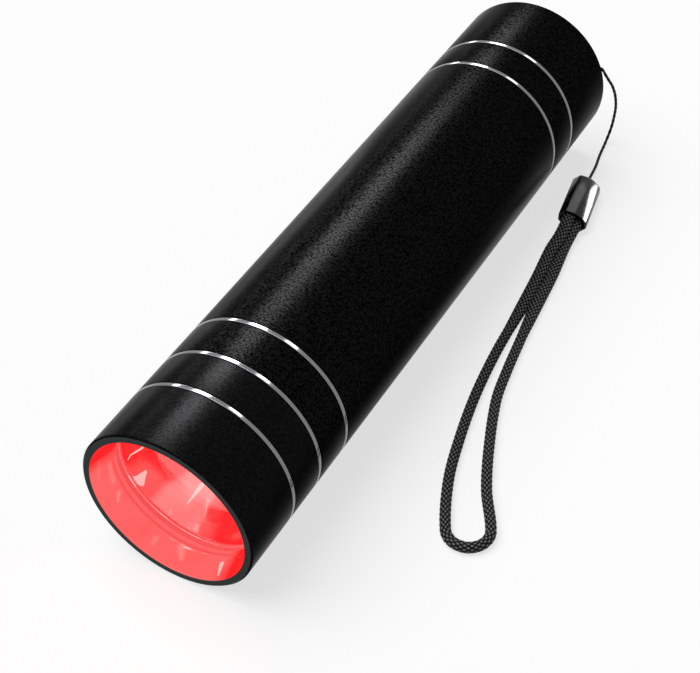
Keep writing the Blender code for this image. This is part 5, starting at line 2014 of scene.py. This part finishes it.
    def make_knot(self) -> Piece:
        """Stopper knot, pulled tight behind the tail's rim."""
        reach = self.knot_radius - self.knot_tube
        centre = Vector(self.cord_route[0]) + Vector((0, self.knot_radius + self.gap, 0))
        steps, sides = self.knot_steps, Fineness.WIRE.value
        loop: list[Vector] = []
        for i in range(steps):
            t = TURN * i / steps
            x = (math.sin(t) + 2 * math.sin(2 * t)) / 3
            z = (math.cos(t) - 2 * math.cos(2 * t)) / 3
            loop.append(Vector((x, math.sin(3 * t) * self.knot_width, z)) * reach + centre)
        verts: list[Vector] = []
        for i, point in enumerate(loop):
            ahead = (loop[(i + 1) % steps] - loop[i - 1]).normalized()
            side = (point - centre).cross(ahead).normalized()
            across = ahead.cross(side)
            for j in range(sides):
                a = TURN * j / sides
                verts.append(point + (side * math.cos(a) + across * math.sin(a)) * self.knot_tube)
        faces = []
        for i in range(steps):
            for j in range(sides):
                k, m = (j + 1) % sides, (i + 1) % steps
                faces.append((i * sides + j, i * sides + k, m * sides + k, m * sides + j))
        made = Shaper.piece("stopper_knot", verts, faces)
        return show(made, self.finishes.cord, "lanyard_knot")

    def clip_place(self) -> tuple[Matrix, Vector]:
        """How the clip is turned, and the middle of its nose; it rests on a corner's chamfer."""
        turn = Matrix.Rotation(self.heading, 3, "Z") @ Matrix.Rotation(self.roll, 3, "Y")
        reach = (self.ferrule_width + self.ferrule_height) / 2 - self.ferrule_chamfer
        return turn, Vector((*self.nose, reach * math.cos(self.roll)))

    def section(self, share: float, inset: float, along: float) -> list[Vector]:
        """The clip's section at a distance from its nose.

        Args:
            share: its size as a share of the clip's.
            inset: how far it lies inside the outer skin.
            along: the distance from the nose.

        Returns:
            Its points; the broad face bulges, and the other faces are flat.
        """
        x, z = self.ferrule_width / 2 - inset, self.ferrule_height / 2 - inset
        c = self.ferrule_chamfer - inset * 0.6
        fillet = self.ferrule_fillet
        bulge = self.face_radius - inset
        top = self.ferrule_height / 2 - self.face_radius
        corners = []
        for step in range(self.face_steps + 1):
            across = (x - c) * (1 - 2 * step / self.face_steps)
            up = top + math.sqrt(bulge**2 - (across - self.face_middle) ** 2)
            corners.append(Corner(across, up))
        last = corners[-1]
        corners += [
            Corner(-x, last.station - c * math.tan(self.face_end), fillet),
            Corner(-x, -z + c, fillet),
            Corner(-x + c, -z, fillet),
            Corner(x - c, -z, fillet),
            Corner(x, -z + c, fillet),
            Corner(x, z - c, fillet),
        ]
        turn, origin = self.clip_place()
        outline = rounded(corners)
        return [origin + turn @ Vector((across * share, -along, up * share)) for across, up in outline]

    def make_ferrule(self) -> Piece:
        """Faceted clip with a tapered nose and an open mouth."""
        n, wall = self.nose_share, self.ferrule_wall
        soft, end = self.ferrule_soft, self.ferrule_length
        rows = (
            (n - self.nose_shrink, 0.0, 0.0),
            (n, 0.0, soft),
            (1.0, soft / 2, self.nose_length - soft),
            (1.0, 0.0, self.nose_length + soft),
            (1.0, 0.0, end - soft),
            (1.0, soft / 4, end - soft / 4),
            (1.0, soft / 2, end),
            (1.0, wall, end),
            (1.0, wall, end - self.pocket_depth),
        )
        loops = [self.section(*row) for row in rows]
        made = Shaper.loft("strap_clip", loops, sharp=self.clip_sharp)
        turn, origin = self.clip_place()
        deep = turn @ Vector((0, self.hole_depth, 0))
        hole = Shaper.rod("hole_cutter", origin + deep, origin - deep, self.hole_radius)
        Shaper.combine(made, hole, "DIFFERENCE")
        return show(made, self.finishes.ferrule, "strap_ferrule")

    def build(self) -> Piece:
        """Makes the lanyard and hands back the clip."""
        cord, knot = self.make_cord(), self.make_knot()
        ferrule, strap = self.make_ferrule(), self.make_strap()
        return ferrule


@dataclass
class Innards:
    """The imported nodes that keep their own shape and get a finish."""

    finishes: Finishes
    kept: tuple[tuple[str, tuple[str, ...]], ...] = (
        ("led_board", ("led_board",)),
        ("brass", ("heat_sink_pill", "driver_retaining_ring", "switch_retaining_ring")),
        ("red_wire", ("led_wire_positive",)),
        ("black_wire", ("led_wire_negative",)),
        ("board", ("charge_board", "driver_board", "switch_board")),
        ("white_plastic", ("board_spacer", "battery_insulator", "switch_plunger")),
        ("spring", ("front_contact_spring", "tail_spring")),
        ("rubber", ("head_o_ring", "tail_o_ring")),
        ("can", ("battery_cell",)),
        ("wrap", ("battery_wrap",)),
        ("nickel", ("battery_positive_cap",)),
        ("black_plastic", ("tail_switch",)),
    )

    def build(self) -> None:
        """Gives each node its finish."""
        for finish_name, nodes in self.kept:
            finish = getattr(self.finishes, finish_name)
            for node in nodes:
                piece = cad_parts[node]
                piece.data.materials.clear()
                piece.data.materials.append(finish.material())
                LOG.info("%s keeps its shape", node)


@dataclass(frozen=True)
class Strip:
    """A long softbox between two points, which faces a third."""

    name: str
    front: Point
    back: Point
    target: Point
    width: float
    radiance: float
    lit: Lit = Lit.METAL


@dataclass
class Studio:
    """Floor, lights and camera."""

    wand: Wand
    floor_size: float = 12.0
    floor_colour: Colour = (0.78,) * 3
    floor_seen: Colour = (1.0,) * 3
    floor_lift: float = 0.70
    floor_drop: float = 0.02 * MM
    floor_roughness: float = 0.9
    world: float = 0.11
    sun_strength: float = 2.9
    sun_spread: float = math.radians(60)
    sun_from: Pair = (math.radians(-70), math.radians(64))
    strips: tuple[Strip, ...] = (
        Strip(
            "strip_low", (-0.559, 0.231, 0.310), (-0.621, 0.829, 0.130),
            (0, 0.53, 0.0175), 0.085, 9.0,
        ),
        Strip(
            "strip_key", (-0.300, 0.272, 0.576), (-0.406, 0.853, 0.516),
            (0, 0.5625, 0.0175), 0.23, 26.0,
        ),
        Strip(
            "strip_high", (0.167, 0.270, 0.630), (0.163, 0.850, 0.630),
            (0, 0.56, 0.0175), 0.19, 9.0, Lit.RINGS,
        ),
        Strip(
            "strip_side", (-0.120, -0.100, 0.018), (-0.120, 0.118, 0.018),
            (0, 0.009, 0.0175), 0.034, 5.0, Lit.SKIN,
        ),
        Strip(
            "clip_card", (0.138, 0.200, -0.003), (0.138, 0.200, 0.067),
            (0.0215, 0.055, 0.006), 0.12, 40.0, Lit.CLIP,
        ),
        Strip(
            "clip_sheet", (0.070, 0.270, 0.630), (0.070, 0.850, 0.630),
            (0.02, 0.05, 0.006), 0.30, 2.4, Lit.CLIP,
        ),
    )
    camera_place: Point = (0.112190, -0.207357, 0.231784)
    camera_azimuth: float = math.radians(29.6285)
    camera_elevation: float = math.radians(45.0019)
    camera_lens: float = 82.0757
    camera_sensor: float = 36.0
    camera_near: float = 0.01

    def make_floor(self) -> None:
        """Plain pale floor, white as seen, mirrored or seen through glass where nothing shades it."""
        half = self.floor_size / 2
        verts = [(-half, -half, 0), (half, -half, 0), (half, half, 0), (-half, half, 0)]
        floor = Shaper.piece("floor", verts, [(0, 1, 2, 3)])
        floor.location.z = -self.floor_drop
        tree = ShaderTree("pale_floor")
        seen = tree.node("ShaderNodeLightPath", output="Is Camera Ray")
        for ray in MIRRORED_RAYS:
            seen = seen.math("MAXIMUM", tree.node("ShaderNodeLightPath", output=ray))
        tree.set(
            Base_Color=tree.mix(seen, self.floor_colour, self.floor_seen),
            Roughness=self.floor_roughness,
            Specular_IOR_Level=0.0,
        )
        white = tree.node("ShaderNodeEmission", {"Strength": 1.0})
        plain = Socket(tree, tree.shader.outputs[0])
        lifted = tree.node("ShaderNodeMixShader", [seen * self.floor_lift, plain, white])
        tree.feed(tree.nodes["Material Output"].inputs["Surface"], lifted)
        floor.data.materials.append(tree.material)

    def make_world(self) -> None:
        """Even dim light from all round, white as seen, mirrored or seen through glass."""
        world = bpy.data.worlds.new("studio")
        world.use_nodes = True
        nodes, links = world.node_tree.nodes, world.node_tree.links
        rays = nodes.new("ShaderNodeLightPath").outputs
        seen = rays["Is Camera Ray"]
        for ray in MIRRORED_RAYS:
            larger = nodes.new("ShaderNodeMath")
            larger.operation = "MAXIMUM"
            links.new(seen, larger.inputs[0])
            links.new(rays[ray], larger.inputs[1])
            seen = larger.outputs[0]
        dim, white = nodes["Background"], nodes.new("ShaderNodeBackground")
        either = nodes.new("ShaderNodeMixShader")
        for background, strength in ((dim, self.world), (white, 1.0)):
            background.inputs["Color"].default_value = (1.0, 1.0, 1.0, 1.0)
            background.inputs["Strength"].default_value = strength
        for place, output in enumerate((seen, dim.outputs[0], white.outputs[0])):
            links.new(output, either.inputs[place])
        links.new(either.outputs[0], nodes["World Output"].inputs["Surface"])
        bpy.context.scene.world = world

    @staticmethod
    def hang(name: str, lamp: bpy.types.Light, place: Vector, along: Vector, target: Vector) -> Piece:
        """Puts a lamp in its place.

        Args:
            name: the lamp's name.
            lamp: its light.
            place: its middle.
            along: the direction of its long side.
            target: what it faces.

        Returns:
            The lamp.
        """
        back = (place - target).normalized()
        across = along.cross(back).normalized()
        turn = Matrix((across, back.cross(across), back)).transposed()
        made = bpy.data.objects.new(name, lamp)
        made.matrix_world = Matrix.Translation(place) @ turn.to_4x4()
        bpy.context.scene.collection.objects.link(made)
        return made

    def make_lights(self, pieces: dict[Lit, list[Piece]]) -> None:
        """A broad soft sun from the front left, and softboxes, each of which lights a few pieces only.

        Args:
            pieces: the pieces that each kind of limited lamp lights.
        """
        azimuth, elevation = self.sun_from
        sun = bpy.data.lights.new("soft_sun", "SUN")
        sun.energy = self.sun_strength
        sun.angle = self.sun_spread
        level = math.cos(elevation)
        back = Vector((math.sin(azimuth) * level, -math.cos(azimuth) * level, math.sin(elevation)))
        self.hang("soft_sun", sun, back, Vector((0, 1, 0)), Vector())
        for strip in self.strips:
            front, end = Vector(strip.front), Vector(strip.back)
            data = bpy.data.lights.new(strip.name, "AREA")
            data.shape = "RECTANGLE"
            data.size, data.size_y = strip.width, (end - front).length
            data.energy = strip.radiance * math.pi * data.size * data.size_y
            lamp = self.hang(strip.name, data, (front + end) / 2, end - front, Vector(strip.target))
            lamp.visible_camera = False
            chosen = bpy.data.collections.new(f"lit_by_{strip.name}")
            for piece in pieces[strip.lit]:
                chosen.objects.link(piece)
            lamp.light_linking.receiver_collection = chosen

    def make_camera(self) -> None:
        """Camera at the photograph's place and angle."""
        data = bpy.data.cameras.new("camera")
        data.lens = self.camera_lens
        data.sensor_width = self.camera_sensor
        data.clip_start = self.camera_near
        camera = bpy.data.objects.new("camera", data)
        camera.location = self.camera_place
        camera.rotation_euler = (math.pi / 2 - self.camera_elevation, 0, self.camera_azimuth)
        bpy.context.scene.collection.objects.link(camera)
        bpy.context.scene.camera = camera

    def build(self, pieces: dict[Lit, list[Piece]]) -> None:
        """Sets the scene's view and makes the studio.

        Args:
            pieces: the pieces that each kind of limited lamp lights.
        """
        bpy.context.scene.view_settings.view_transform = "Standard"
        self.make_floor()
        self.make_world()
        self.make_lights(pieces)
        self.make_camera()


def main() -> None:
    """Builds the wand's looks, sub-assembly by sub-assembly."""
    logging.basicConfig(level=logging.INFO, format="%(name)s: %(message)s")
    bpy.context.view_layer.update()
    wand = Wand.from_frame()
    finishes = Finishes(wand)
    shape = Shaper(wand)
    clip = Lanyard(wand, finishes).build()
    port = ChargingPort(wand, finishes)
    skin = Shell(wand, finishes).build(shape, port)
    rings = BrightRings(wand, finishes).build(shape)
    Optics(wand, finishes).build(shape)
    port.build(shape)
    TailSwitch(wand, finishes).build(shape)
    Innards(finishes).build()
    Studio(wand).build({Lit.METAL: skin + rings, Lit.SKIN: skin, Lit.RINGS: rings, Lit.CLIP: [clip]})


if __name__ == "__main__":
    main()
